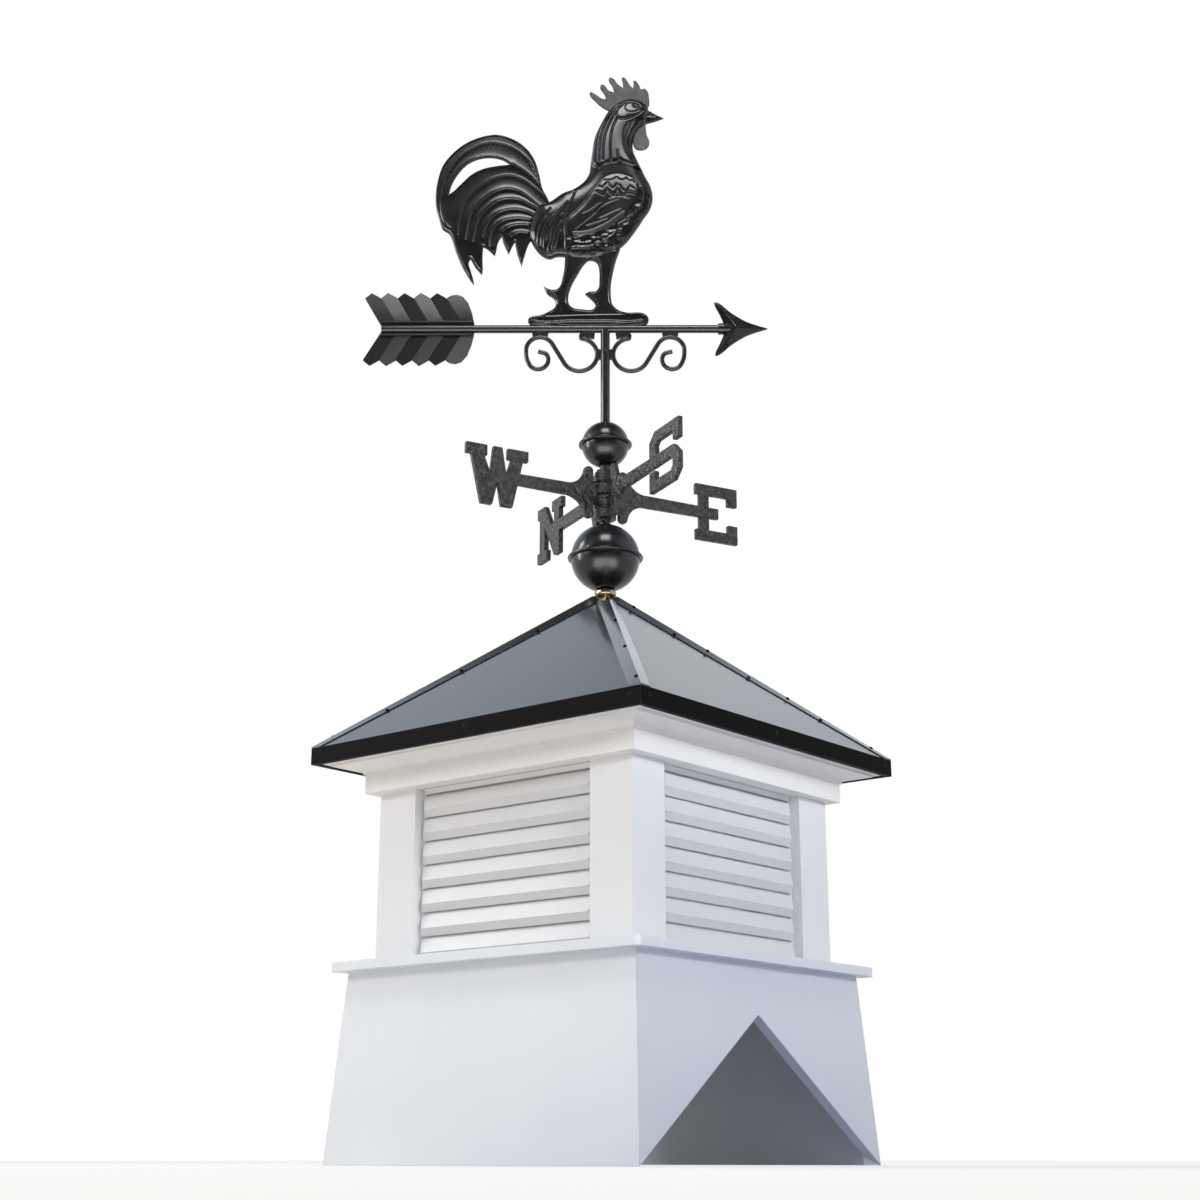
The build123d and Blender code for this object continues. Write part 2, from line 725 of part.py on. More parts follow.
with BuildPart() as scroll:
    with BuildLine(vane_plane) as bar:
        crest_point = scroll_path()
    with BuildSketch(Plane(origin=bar.line @ 0, z_dir=bar.line % 0)):
        Circle(scroll_radius)
    sweep()
    with BuildSketch(vane_plane):
        crest_run = vane_plane.to_local_coords(crest_point).X
        with Locations((crest_run, -shaft_radius)):
            Rectangle(scroll_pad, 2 * (shaft_radius + scroll_radius))
        start_run = vane_plane.to_local_coords(bar.line @ 0).X
        start_drop = vane_plane.to_local_coords(bar.line @ 0).Y
        Polygon((start_run, start_drop), (start_run, 0), (start_run / 2, 0), (start_run / 2, start_drop),
                align=None)
        reach = -scroll_middle[0] - scroll_round
        with Locations((-reach / 2, scroll_middle[1])):
            Rectangle(reach + scroll_radius, scroll_lug)
    extrude(amount=scroll_radius, both=True)
    shaft_hole()
    with BuildSketch(Plane.XY.offset(sleeve_bottom)):
        Circle(sleeve_radius)
    extrude(amount=sleeve_height, mode=Mode.SUBTRACT)
with BuildPart() as scrolls:
    add(scroll.part)
    add(scroll.part, rotation=(0, 0, 180))
save(scrolls, "scrolls")

# Rooster: one casting on a foot that seats on the shaft. Its outlines are drawn on a
# grid whose zero is where the spindle's axis crosses the shaft's middle line.
body_outline = [
    (8, 296), (-9, 268), (-17, 230), (-22, 205), (-38, 187), (-67, 168), (-89, 147), (-88, 111),
    (-66, 94), (-38, 93), (-6, 89), (24, 110), (50, 150), (56, 177), (42, 219), (34, 245),
    (44, 268), (53, 286), (34, 305),
]
comb_start = (2, 290)
comb_points = [
    ((-18, 319), (1, 309)), ((-5, 330), (12, 321)), ((6, 340), (23, 327)), ((22, 342), (35, 325)),
    ((36, 335), (43, 323)), ((50, 324), (54, 300)),
]
beak_outline = [(44, 297), (58, 290), (72, 283), (60, 278), (46, 274)]
wattle_outline = [
    (42, 277), (50, 270), (52, 256), (55, 246), (47, 239), (37, 241), (35, 256), (37, 268), (42, 277),
]
tail_outline = [
    (-62, 160), (-78, 192), (-86, 224), (-105, 249), (-135, 260), (-172, 248), (-198, 216),
    (-206, 170), (-189, 127),
]
tail_tips = [
    ((-158, 57), (-162, 93)), ((-148, 71), (-147, 109)), ((-133, 96), (-126, 122)),
    ((-116, 98), (-109, 114)), ((-101, 82), (-86, 118)),
]
tail_gap_top = [(-191, 178), (-181, 205), (-160, 224), (-138, 229), (-115, 219)]
tail_gap_bottom = [(-115, 219), (-134, 217), (-156, 210), (-175, 194), (-191, 178)]
tail_ridges = [
    [(-197, 183), (-183, 219), (-153, 244), (-110, 237), (-78, 191)],
    [(-114, 218), (-92, 203), (-74, 183)],
    [(-177, 107), (-172, 155), (-149, 193), (-112, 200), (-70, 168)],
    [(-165, 102), (-162, 147), (-142, 178), (-110, 182), (-79, 161)],
    [(-155, 114), (-152, 146), (-132, 168), (-106, 168.5), (-82, 157)],
    [(-147, 114), (-143, 139), (-124, 154), (-105, 155), (-87, 149)],
    [(-138, 112), (-133, 136), (-115, 145), (-103, 145), (-91, 142)],
    [(-122, 126), (-108, 135), (-92, 134)],
]
leg_back = [(-50, 102), (-49, 80), (-55, 57), (-63, 51), (-74, 55)]
leg_heel = [(-74, 55), (-66, 43), (-59, 33), (-70, 21), (-88, 15)]
leg_front = [(47, 20), (28, 20.5), (13, 27), (7, 55), (17, 103)]
leg_gap = [
    (-24, 46), (-16, 49), (-9, 52), (-6.5, 72), (-17, 90), (-33, 73), (-43, 47), (-42, 31),
    (-32, 26), (-22, 25), (-13, 27), (-13, 35), (-24, 46),
]
toe = (50, 11)
heel = (-92, 9)
wing_outline = [
    (-4, 191), (15, 200), (36, 192), (41, 172), (17, 138), (-11, 123), (-41, 117), (-47, 130),
    (-40, 146), (-22, 166), (-4, 191),
]
covert_top = [(-3, 190), (4, 195), (14, 198), (27, 195), (35, 189)]
covert_rows = [
    [(38, 178), (32, 172), (24, 166), (17, 175), (9, 167), (1, 176), (-6, 168), (-14, 175)],
    [(38, 181), (33, 180), (25, 173), (17, 182), (9, 175), (2, 184), (-5, 176), (-11, 181)],
    [(36, 187), (29, 190), (23, 186), (16, 191), (10, 187), (4, 190), (-2, 187)],
]
hackle_outline = [
    (-9, 213), (-3, 210), (3, 216), (9, 211), (17, 218), (25, 213), (34, 211), (29, 228), (28, 243),
    (30, 258), (36, 268), (22, 270), (12, 281), (4, 270), (-3, 256), (-7, 240),
]
face_outline = [
    (22, 298), (14, 287), (18, 276), (29, 273), (39, 280), (46, 288), (42, 298), (32, 302), (22, 298),
]
eye_middle = (39, 293)
eye_radius = 3.6


def grown_in(points, distance):
    """Move the points of a closed outline, drawn anticlockwise, inward by a distance."""
    moved = []
    for i, (x, y) in enumerate(points):
        before = Vector(*points[i - 1])
        after = Vector(*points[(i + 1) % len(points)])
        run = (after - before).normalized()
        moved.append((x - run.Y * distance, y + run.X * distance))
    return moved


def arc_chain(points):
    """Draw arcs on the rooster's grid, each through the next three points."""
    places = on_grid(points, rooster_grid)
    for i in range(0, len(places) - 1, 2):
        ThreePointArc(*places[i:i + 3])


def pointed_edge(start, points, side):
    """Draw points that curve over to one side, as feathers and flames do."""
    for tip, notch in points:
        foot, point, end = on_grid((start, tip, notch), rooster_grid)
        bow = side * feather_bow
        SagittaArc(foot, point, bow * (Vector(*point) - Vector(*foot)).length)
        SagittaArc(point, end, -bow * (Vector(*end) - Vector(*point)).length)
        start = notch


# The domed body, one half, in sections that draw in as they rise.
with BuildPart() as half_body:
    for rise, draw in body_steps:
        with BuildSketch(vane_plane.offset(rise)):
            with BuildLine():
                Spline(*grown_in(on_grid(body_outline, rooster_grid), draw), periodic=True)
            make_face()
    loft()

with BuildPart() as rooster:
    add(half_body.part)
    mirror(about=vane_plane)
    with BuildSketch(vane_plane):
        with BuildLine():
            arc_chain(tail_outline)
            pointed_edge(tail_outline[-1], tail_tips, -1)
            Line(*on_grid([tail_tips[-1][1], tail_outline[0]], rooster_grid))
        make_face()
        with BuildLine():
            arc_chain(tail_gap_top)
            arc_chain(tail_gap_bottom)
        make_face(mode=Mode.SUBTRACT)
    extrude(amount=plate_half, both=True)
    with BuildSketch(vane_plane):
        for ridge in tail_ridges:
            with BuildLine():
                arc_chain(ridge)
            trace(line_width=rib_width)
    extrude(amount=plate_half + rib_rise, both=True)
    with BuildSketch(vane_plane):
        with BuildLine():
            base_ends = (leg_heel[-1], heel, toe, leg_front[0])
            heel_end, heel_point, toe_point, toe_end = on_grid(base_ends, rooster_grid)
            sole_back = (heel_end[0], rooster_foot)
            sole_front = (toe_end[0], rooster_foot)
            arc_chain(leg_back)
            arc_chain(leg_heel)
            ThreePointArc(heel_end, heel_point, sole_back)
            Line(sole_back, sole_front)
            ThreePointArc(sole_front, toe_point, toe_end)
            arc_chain(leg_front)
            Line(*on_grid([leg_front[-1], leg_back[0]], rooster_grid))
        make_face()
        with BuildLine():
            arc_chain(leg_gap)
        make_face(mode=Mode.SUBTRACT)
    extrude(amount=leg_half, both=True)
    with BuildSketch(vane_plane):
        with BuildLine():
            pointed_edge(comb_start, comb_points, 1)
            Line(*on_grid([comb_points[-1][1], comb_start], rooster_grid))
        make_face()
        with BuildLine():
            arc_chain(wattle_outline)
        make_face()
        Polygon(*on_grid(beak_outline, rooster_grid), align=None)
    extrude(amount=comb_half, both=True)
    with BuildSketch(vane_plane):
        with BuildLine():
            arc_chain(wing_outline)
        make_face()
    extrude(amount=body_half + wing_rise, both=True)
    for i, row in enumerate(covert_rows):
        with BuildSketch(vane_plane):
            Polygon(*on_grid(covert_top + row, rooster_grid), align=None)
        extrude(amount=body_half + wing_rise + covert_rise * (i + 1), both=True)
    with BuildSketch(vane_plane):
        Polygon(*on_grid(hackle_outline, rooster_grid), align=None)
        with BuildLine():
            arc_chain(face_outline)
        make_face()
    extrude(amount=body_half + covert_rise, both=True)
    with BuildSketch(vane_plane):
        with Locations(*on_grid([eye_middle], rooster_grid)):
            Circle(eye_radius * rooster_grid)
    extrude(amount=body_half + 2 * covert_rise, both=True)
    shaft_hole()
save(rooster, "rooster")
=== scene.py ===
# %% [markdown]
# # A barn cupola with a rooster weathervane
# This lesson dresses a finished construction model. The cupola is a white vinyl box on
# a flared base that is notched on two sides, with louvers on four sides, a black metal
# roof and a cast weathervane on a spindle. The construction model gives every piece its
# place and size, so the first step loads it. Nothing below moves or changes a piece of
# it: finishes are put on, and finer pieces stand in where they help.

# %% Load the frame
import json
import math

import bmesh
import bpy
import numpy as np
from mathutils import Matrix, Vector, geometry, noise
from mathutils.bvhtree import BVHTree


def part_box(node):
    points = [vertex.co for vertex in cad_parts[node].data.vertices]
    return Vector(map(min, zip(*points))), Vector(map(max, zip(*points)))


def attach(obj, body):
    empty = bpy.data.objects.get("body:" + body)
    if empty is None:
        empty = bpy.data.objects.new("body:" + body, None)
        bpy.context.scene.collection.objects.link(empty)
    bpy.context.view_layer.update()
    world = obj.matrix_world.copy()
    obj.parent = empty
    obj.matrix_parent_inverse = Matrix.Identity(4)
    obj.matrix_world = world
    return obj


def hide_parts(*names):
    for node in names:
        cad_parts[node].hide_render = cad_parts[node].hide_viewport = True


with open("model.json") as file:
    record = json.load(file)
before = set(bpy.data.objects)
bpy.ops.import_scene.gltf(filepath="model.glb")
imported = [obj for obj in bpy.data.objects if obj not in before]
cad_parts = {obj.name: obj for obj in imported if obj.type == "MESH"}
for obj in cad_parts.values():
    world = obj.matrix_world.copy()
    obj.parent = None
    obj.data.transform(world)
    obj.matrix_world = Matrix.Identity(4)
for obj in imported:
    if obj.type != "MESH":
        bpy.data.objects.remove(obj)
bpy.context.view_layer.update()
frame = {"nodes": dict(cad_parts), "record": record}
nodes = frame["nodes"]
print("nodes loaded:", len(nodes))

# %% [markdown]
# ## The camera
# The photograph looks up at the near corner from just above the floor, a little to the
# left of the diagonal. The place, the tilt and the lens were found by fitting the known
# corners of the eaves, sill, posts and base to the photograph's own corners. The long
# lens keeps the uprights almost parallel.

# %% Camera
CAMERA_PLACE = (1.2833, -1.5799, 0.006)
CAMERA_TURN = 39.26
CAMERA_TILT = 16.67
CAMERA_LENS = 56.04
SENSOR_WIDTH = 36.0
NEAREST_SEEN = 0.01

camera_data = bpy.data.cameras.new("camera")
camera_data.lens = CAMERA_LENS
camera_data.sensor_width = SENSOR_WIDTH
camera_data.clip_start = NEAREST_SEEN
camera = bpy.data.objects.new("camera", camera_data)
camera.location = CAMERA_PLACE
camera.rotation_euler = (math.radians(90 + CAMERA_TILT), 0, math.radians(CAMERA_TURN))
bpy.context.collection.objects.link(camera)
bpy.context.scene.camera = camera
print("camera is", round(math.hypot(*CAMERA_PLACE[:2]), 2), "m from the spindle")

# %% [markdown]
# ## Shader maths as plain expressions
# A node tree is easier to read as a formula. The class below wraps one output socket.
# Adding, subtracting or multiplying two of them adds a Math node behind the scenes, so
# a mask can be written the way it would be on paper. One method adds any other node.


# %% Sockets that can be added and multiplied
class Sock:
    """One output of a node, which can be used in a formula."""

    def __init__(self, tree, out):
        self.tree = tree
        self.out = out

    def math(self, operation, other=None, flip=False):
        first, second = (other, self) if flip else (self, other)
        values = [first] if second is None else [first, second]
        return self.tree.add("ShaderNodeMath", {"operation": operation}, values)

    def __add__(self, other):
        return self.math("ADD", other)

    def __radd__(self, other):
        return self.math("ADD", other, flip=True)

    def __sub__(self, other):
        return self.math("SUBTRACT", other)

    def __rsub__(self, other):
        return self.math("SUBTRACT", other, flip=True)

    def __mul__(self, other):
        return self.math("MULTIPLY", other)

    def __rmul__(self, other):
        return self.math("MULTIPLY", other, flip=True)

    def clamp(self):
        return self.tree.add("ShaderNodeClamp", {}, [self])


class Tree:
    """The nodes of a material or a world, added with one method."""

    def __init__(self, name, home=bpy.data.materials):
        self.owner = home.new(name)
        self.owner.use_nodes = True
        self.nodes = self.owner.node_tree.nodes
        self.links = self.owner.node_tree.links
        self.shader = self.nodes.get("Principled BSDF")

    def feed(self, socket, value):
        if isinstance(value, Sock):
            self.links.new(value.out, socket)
        else:
            socket.default_value = value

    def add(self, kind, settings, inputs, output=0):
        node = self.nodes.new(kind)
        for key, value in settings.items():
            if key == "stops":
                # A new ramp has two stops, so only the others are added.
                stops = node.color_ramp.elements
                for place, _ in value[2:]:
                    stops.new(place)
                for stop, (place, colour) in zip(stops, sorted(value)):
                    stop.position = place
                    stop.color = (*colour, 1)
            else:
                setattr(node, key, value)
        pairs = inputs.items() if isinstance(inputs, dict) else enumerate(inputs)
        for key, value in pairs:
            self.feed(node.inputs[key], value)
        return Sock(self, node.outputs[output])

    def object_place(self):
        return self.add("ShaderNodeTexCoord", {}, {}, output="Object")

    def axis(self, place, letter):
        return self.add("ShaderNodeSeparateXYZ", {}, [place], output=letter)

    def noise(self, place, scale, detail=3.0, rough=0.5):
        inputs = {"Vector": place, "Scale": scale, "Detail": detail, "Roughness": rough}
        return self.add("ShaderNodeTexNoise", {}, inputs)

    def stretch(self, place, scale):
        return self.add("ShaderNodeMapping", {}, {"Vector": place, "Scale": scale})

    def compare(self, operation, one, two):
        """One number from two vectors, such as the distance between them."""
        return self.add("ShaderNodeVectorMath", {"operation": operation}, [one, two], output="Value")

    def ramp(self, value, *stops):
        return self.add("ShaderNodeValToRGB", {"stops": stops}, [value])

    def mix(self, factor, one, two):
        inputs = {"Factor": factor, 6: one, 7: two}
        return self.add("ShaderNodeMix", {"data_type": "RGBA"}, inputs, output=2)

    def bump(self, height, strength, distance, over=None):
        inputs = {"Height": height, "Strength": strength, "Distance": distance}
        if over is not None:
            inputs["Normal"] = over
        return self.add("ShaderNodeBump", {}, inputs)

    def rays(self, *kinds):
        """One output for each kind of ray: 1 where such a ray arrives, and else 0."""
        node = self.nodes.new("ShaderNodeLightPath")
        return [Sock(self, node.outputs[f"Is {kind} Ray"]) for kind in kinds]

    def finish(self, **values):
        for key, value in values.items():
            self.feed(self.shader.inputs[key.replace("_", " ")], value)
        return self.owner


print("shader helpers ready")

# %% [markdown]
# ## Finishes
# The white boards are satin vinyl. Seen close, such board is not one flat white: it has
# a faint cloudiness, faint upright streaks, a slight orange peel, and smoother or duller
# patches. Three noises at very different scales give that. A Bevel node rounds the sharp
# edges in the shading, so that each catches a thin line of light. The base and the
# mouldings under the eaves are the same vinyl with light painted into the colour. The base
# is tinted cooler, as painted cool sky light and shade, and the mouldings are tinted warmer,
# as painted warm bounce light from below. The louvers are moulded from the same plastic
# with a finer skin, and their colour is made darker as painted shade between the blades.


# %% White vinyl
EDGE_ROUND = 0.0009
CLOUD_SCALE, CLOUD_SHARE = 7.0, 0.6
STREAK_STRETCH = (26, 26, 3)
SHADE_STOP, COLOUR_STOP = 0.36, 0.62
VINYL_ROUGH, PATCH_ROUGH = 0.36, 0.14
PEEL_SCALE, PEEL_DEPTH = 900.0, 0.0002


def vinyl(name, colour, shade, peel):
    tree = Tree(name)
    place = tree.object_place()
    clouds = tree.noise(place, CLOUD_SCALE, 4.0)
    streaks = tree.noise(tree.stretch(place, STREAK_STRETCH), 1.0)
    mottle = (clouds * CLOUD_SHARE + streaks * (1 - CLOUD_SHARE)).clamp()
    soft = tree.add("ShaderNodeBevel", {"samples": 4}, {"Radius": EDGE_ROUND})
    return tree.finish(
        Base_Color=tree.ramp(mottle, (SHADE_STOP, shade), (COLOUR_STOP, colour)),
        Roughness=VINYL_ROUGH + clouds * PATCH_ROUGH,
        Normal=tree.bump(tree.noise(place, PEEL_SCALE, 2.0), peel, PEEL_DEPTH, soft),
    )


white_vinyl = vinyl("white_vinyl", (0.785, 0.785, 0.80), (0.76, 0.762, 0.785), 0.10)
# The base's bluer tint is painted cool sky light and shade.
base_vinyl_painted_cool_light = vinyl("base_vinyl_painted_cool_light", (0.755, 0.785, 0.825), (0.73, 0.765, 0.81), 0.10)
# The mouldings' warmer tint is painted warm bounce light from below.
crown_vinyl_painted_warm_bounce = vinyl("crown_vinyl_painted_warm_bounce", (0.84, 0.825, 0.815), (0.815, 0.80, 0.79), 0.08)
# The louvers' darker colour is painted shade between the blades.
louver_vinyl = vinyl("louver_vinyl", (0.705, 0.705, 0.715), (0.69, 0.69, 0.70), 0.06)
print("vinyls:", white_vinyl.name, base_vinyl_painted_cool_light.name, crown_vinyl_painted_warm_bounce.name, louver_vinyl.name)

# %% [markdown]
# The roof is black coated sheet. It looks pale from below because a smooth coat mirrors
# the sky at a flat angle, while its upright edges stay black. So the colour is near
# black and the coat does the rest. Thin sheet is never quite flat, and a broad, shallow
# bump lets the reflection drift as it does on the real panels. The caps on the hips have
# a clear coat as well. The vane is blacker and satin, duller on its rods, and a rough
# dark grey on the comb and the wattle.


# %% Coated metals
WAVE_DEPTH = 0.004
GRAIN_SCALE, GRAIN_DEPTH = 700.0, 0.0004
COLOUR_STOPS, LIGHTER, LIFT = (0.35, 0.75), 1.5, 0.001
MOST_DULLING, DRIFT = 0.1, 0.06
LACQUER_ROUGH = 0.1


def coated(name, colour, rough, wave, wave_scale, grain, grain_scale, gloss=0.5, lacquer=0.0):
    tree = Tree(name)
    place = tree.object_place()
    broad = tree.noise(place, wave_scale, 2.0)
    fine = tree.noise(place, grain_scale)
    lighter = tuple(channel * LIGHTER + LIFT for channel in colour)
    return tree.finish(
        Base_Color=tree.ramp(broad, *zip(COLOUR_STOPS, (colour, lighter))),
        Roughness=rough + fine * min(MOST_DULLING, grain * 2) + broad * DRIFT,
        Specular_IOR_Level=gloss,
        Coat_Weight=lacquer,
        Coat_Roughness=LACQUER_ROUGH,
        Normal=tree.bump(fine, grain, GRAIN_DEPTH, tree.bump(broad, wave, WAVE_DEPTH)),
    )


VANE_COLOUR = (0.004, 0.004, 0.0045)
# A skin is its wave, the wave's scale, its grain and the grain's scale.
ROOF_SKIN = (0.10, 5.0, 0.02, GRAIN_SCALE)
CAP_SKIN = (0.04, 9.0, 0.02, GRAIN_SCALE)
SATIN_SKIN = (0.02, 30.0, 0.015, 900.0)
ROUGH_SKIN = (0.30, 90.0, 0.6, GRAIN_SCALE)

roof_metal = coated("roof_metal", (0.012, 0.013, 0.016), 0.09, *ROOF_SKIN, gloss=0.72)
cap_metal = coated("cap_metal", (0.010, 0.011, 0.013), 0.10, *CAP_SKIN, gloss=0.9, lacquer=0.55)
vane_black = coated("vane_black", VANE_COLOUR, 0.16, *SATIN_SKIN, gloss=0.55)
rod_black = coated("rod_black", VANE_COLOUR, 0.24, *SATIN_SKIN, gloss=0.75)
ball_black = coated("ball_black", VANE_COLOUR, 0.17, *SATIN_SKIN)
wattle_black = coated("wattle_black", (0.066, 0.067, 0.068), 0.5, *ROUGH_SKIN, gloss=0.35)
comb_black = coated("comb_black", (0.050, 0.051, 0.052), 0.46, *ROUGH_SKIN, gloss=0.35)
print("coats:", roof_metal.name, cap_metal.name, vane_black.name, ball_black.name)

# %% [markdown]
# The drip edges are a duller black, and riveted near the corners and in the middle of
# each side. The rivets are pulled almost flush, and nothing may stand out of the model's
# box, so they are made in the material: a low dome in the bump and a paler worn ring, by
# their distance from the rivets' places along the edge.

# %% Drip edges with rivets
drip_low, drip_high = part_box("drip_edges")
EAVES_HALF = drip_high.x
RIVET_CORNER = 0.014
RIVET_RADIUS = 0.0021
RIVET_RISE = 0.0009
RIVET_SHARE = 0.6
RIVET_HEIGHT = drip_low.z + RIVET_SHARE * (drip_high.z - drip_low.z)
RING_PLACE, RING_SHARPNESS, RING_PALENESS = 0.85, 4.0, 0.8
DRIP_COLOUR, PALE_RING_COLOUR = (0.003, 0.003, 0.003, 1), (0.05, 0.05, 0.05, 1)
DRIP_GRAIN, DRIP_ROUGH, DRIP_GLOSS = 0.05, 0.46, 0.03
DRIP_PATCHES, PATCH_SCALE = 0.10, 14.0


def riveted(name):
    tree = Tree(name)
    place = tree.object_place()
    x, y, z = (tree.axis(place, letter).math("ABSOLUTE") for letter in "XYZ")
    along = x.math("MINIMUM", y)
    to_corner = (along - (EAVES_HALF - RIVET_CORNER)).math("ABSOLUTE")
    run = along.math("MINIMUM", to_corner)
    rise = z - RIVET_HEIGHT
    away = (run * run + rise * rise).math("SQRT") * (1 / RIVET_RADIUS)
    dome = (1 - away * away).clamp()
    # A paler ring round the edge of each rivet's head.
    ring = (1 - (away - RING_PLACE).math("ABSOLUTE") * RING_SHARPNESS).clamp()
    domed = tree.bump(dome, 1.0, RIVET_RISE)
    return tree.finish(
        Base_Color=tree.mix(ring * RING_PALENESS, DRIP_COLOUR, PALE_RING_COLOUR),
        Roughness=DRIP_ROUGH + tree.noise(place, PATCH_SCALE, 2.0) * DRIP_PATCHES,
        Specular_IOR_Level=DRIP_GLOSS,
        Normal=tree.bump(tree.noise(place, GRAIN_SCALE), DRIP_GRAIN, GRAIN_DEPTH, domed),
    )


drip_black = riveted("drip_black")
print("rivets at", round(RIVET_HEIGHT, 4), "m")

# %% [markdown]
# The letters and their arms are sand cast, and their faces are pitted all over. Their
# colour follows the pits: darker in them, as painted shade, and a little paler on the high
# spots, as painted highlight.
# The collar on the peak is bare copper, turned and polished, so it gets faint rings.


# %% Cast black and copper
PIT_SCALE, PIT_SHARE = 300.0, 0.25
LUMP_SCALE, LUMP_SHARE = 150.0, 0.9
CAST_DEPTH, CAST_ROUGH, PIT_ROUGH = 0.0044, 0.33, 0.2
# Painted shade in the pits and painted highlight on the high spots, set by the height of the relief.
PIT_SHADE_AND_HIGHLIGHT_STOPS = ((0.42, (0.008, 0.008, 0.008)), (0.72, (0.030, 0.029, 0.028)))
TURNED, RING_BUMP, RING_DEPTH = (40, 40, 2600), 0.10, 0.0003
COPPER_STOPS = ((0.3, (0.30, 0.20, 0.13)), (0.7, (0.62, 0.46, 0.34)))
TARNISH_SCALE, COPPER_ROUGH, TARNISH_ROUGH = 160.0, 0.16, 0.12


def cast(name):
    tree = Tree(name)
    place = tree.object_place()
    pits = tree.noise(place, PIT_SCALE, 2.0, 0.6)
    relief = pits * PIT_SHARE + tree.noise(place, LUMP_SCALE, 1.0) * LUMP_SHARE
    return tree.finish(
        Base_Color=tree.ramp(relief, *PIT_SHADE_AND_HIGHLIGHT_STOPS),
        Roughness=CAST_ROUGH + pits * PIT_ROUGH,
        Normal=tree.bump(relief, 1.0, CAST_DEPTH),
    )


def copper(name):
    tree = Tree(name)
    place = tree.object_place()
    tarnish = tree.noise(place, TARNISH_SCALE, 4.0)
    rings = tree.noise(tree.stretch(place, TURNED), 1.0, 2.0)
    return tree.finish(
        Base_Color=tree.ramp(tarnish, *COPPER_STOPS),
        Metallic=1.0,
        Roughness=COPPER_ROUGH + tarnish * TARNISH_ROUGH,
        Normal=tree.bump(rings, RING_BUMP, RING_DEPTH),
    )


cast_black = cast("cast_black")
collar_copper = copper("collar_copper")
print("castings:", cast_black.name, "and collar:", collar_copper.name)

# %% [markdown]
# The record names the finish of every node, so one loop puts them all on. Where a node
# looks different from others of its slot, such as the base, the mouldings, the caps, the
# drip edges, the rods and the balls, its own variant takes the place of that finish. For
# the base and the mouldings, the variant differs only by light painted into its colour.

# %% Put the finishes on the model
FINISHES = {
    "white_vinyl": white_vinyl,
    "louver_vinyl": louver_vinyl,
    "roof_metal": roof_metal,
    "vane_black": vane_black,
    "cast_black": cast_black,
    "collar_copper": collar_copper,
}
OWN_FINISHES = {
    # The base, sill, crowns and friezes take vinyl with painted light: cool on the base and sill, warm
    # bounce on the mouldings.
    "base_wall_": base_vinyl_painted_cool_light,
    "sill": base_vinyl_painted_cool_light,
    "crown_": crown_vinyl_painted_warm_bounce,
    "frieze_": crown_vinyl_painted_warm_bounce,
    "hip_caps": cap_metal,
    "drip_edges": drip_black,
    "arrow_shaft": rod_black,
    "vane_sleeve": rod_black,
    "spindle_rod": rod_black,
    "upper_ball": ball_black,
    "lower_ball": ball_black,
}
for subpart in frame["record"]["subparts"]:
    name = subpart["node"]
    finish = FINISHES[subpart["material_slot"]]
    for start, own in OWN_FINISHES.items():
        if name.startswith(start):
            finish = own
    nodes[name].data.materials.clear()
    nodes[name].data.materials.append(finish)

# %% [markdown]
# ## The studio
# The photograph stands on pure white, with a soft key from the front left, a cool wash
# on the right and a warm bounce from below. The floor is a wide plain square. A diffuse
# floor alone would come out grey, so camera and mirror rays see it mostly as white, which
# still leaves it the contact shadow. The light that it throws up is warm, but cool from one
# soft spot close to the right side of the base. It lies a hair low, so that its face and
# the base's don't meet.

# %% Floor
FLOOR_HALF = 6.0
FLOOR_DROP = 0.0004
FLOOR_WHITENESS = 0.76
PAPER_STOPS = ((0.3, (0.86, 0.81, 0.74)), (0.7, (0.89, 0.84, 0.77)))
# A dark blue patch painted on the floor next to the base's right side is painted shade: it darkens and
# cools the light thrown up onto that side.
SHADE_PATCH_SPOT, SHADE_PATCH_BLUE = (0.42, 0.0, 0.0), (0.05, 0.13, 0.38, 1)
SHADE_PATCH_STRENGTH, SHADE_PATCH_REACH = 1.15, 0.52
PURE_WHITE = (1, 1, 1, 1)


def deselect():
    for one in list(bpy.context.selected_objects):
        one.select_set(False)


deselect()
bpy.ops.mesh.primitive_plane_add(size=2 * FLOOR_HALF, location=(0, 0, -FLOOR_DROP))
floor = bpy.context.active_object
floor.name = "studio_floor"
bpy.ops.object.transform_apply(location=True)
bpy.ops.object.mode_set(mode="EDIT")
bpy.ops.mesh.subdivide(number_cuts=3)
bpy.ops.object.mode_set(mode="OBJECT")

tree = Tree("studio_floor")
place = tree.object_place()
paper = tree.ramp(tree.noise(place, 60.0), *PAPER_STOPS)
# Painted shade: the floor turns dark blue around that spot.
near = (SHADE_PATCH_STRENGTH - tree.compare("DISTANCE", place, SHADE_PATCH_SPOT) * (1 / SHADE_PATCH_REACH)).clamp()
tree.finish(Base_Color=tree.mix(near, paper, SHADE_PATCH_BLUE), Roughness=0.9)
camera_ray, mirror_ray, passing_ray = tree.rays("Camera", "Glossy", "Transmission")
seen = (camera_ray + mirror_ray + passing_ray).clamp()
lit = Sock(tree, tree.shader.outputs["BSDF"])
white = tree.add("ShaderNodeEmission", {}, {"Color": PURE_WHITE, "Strength": 1.0}, output="Emission")
blended = tree.add("ShaderNodeMixShader", {}, [seen * FLOOR_WHITENESS, lit, white], output="Shader")
tree.links.new(blended.out, tree.nodes["Material Output"].inputs["Surface"])
floor.data.materials.append(tree.owner)
print("floor is", 2 * FLOOR_HALF, "m square")

# %% [markdown]
# The black coats show whatever is around them, so the world decides how they look. Mirror
# rays that go on past the cupola see a white backdrop, which turns a pale blue up to about
# 40 degrees. Near the zenith, and back towards the camera, the studio is dark, which is
# why the upright edges, the caps on the hips and the vane's faces are nearly black, with
# bright rims. One small soft cloud lifts the middle of the right roof panel, though only a
# little. Camera rays see plain white, and the light that falls on the boards is a dim
# neutral grey.

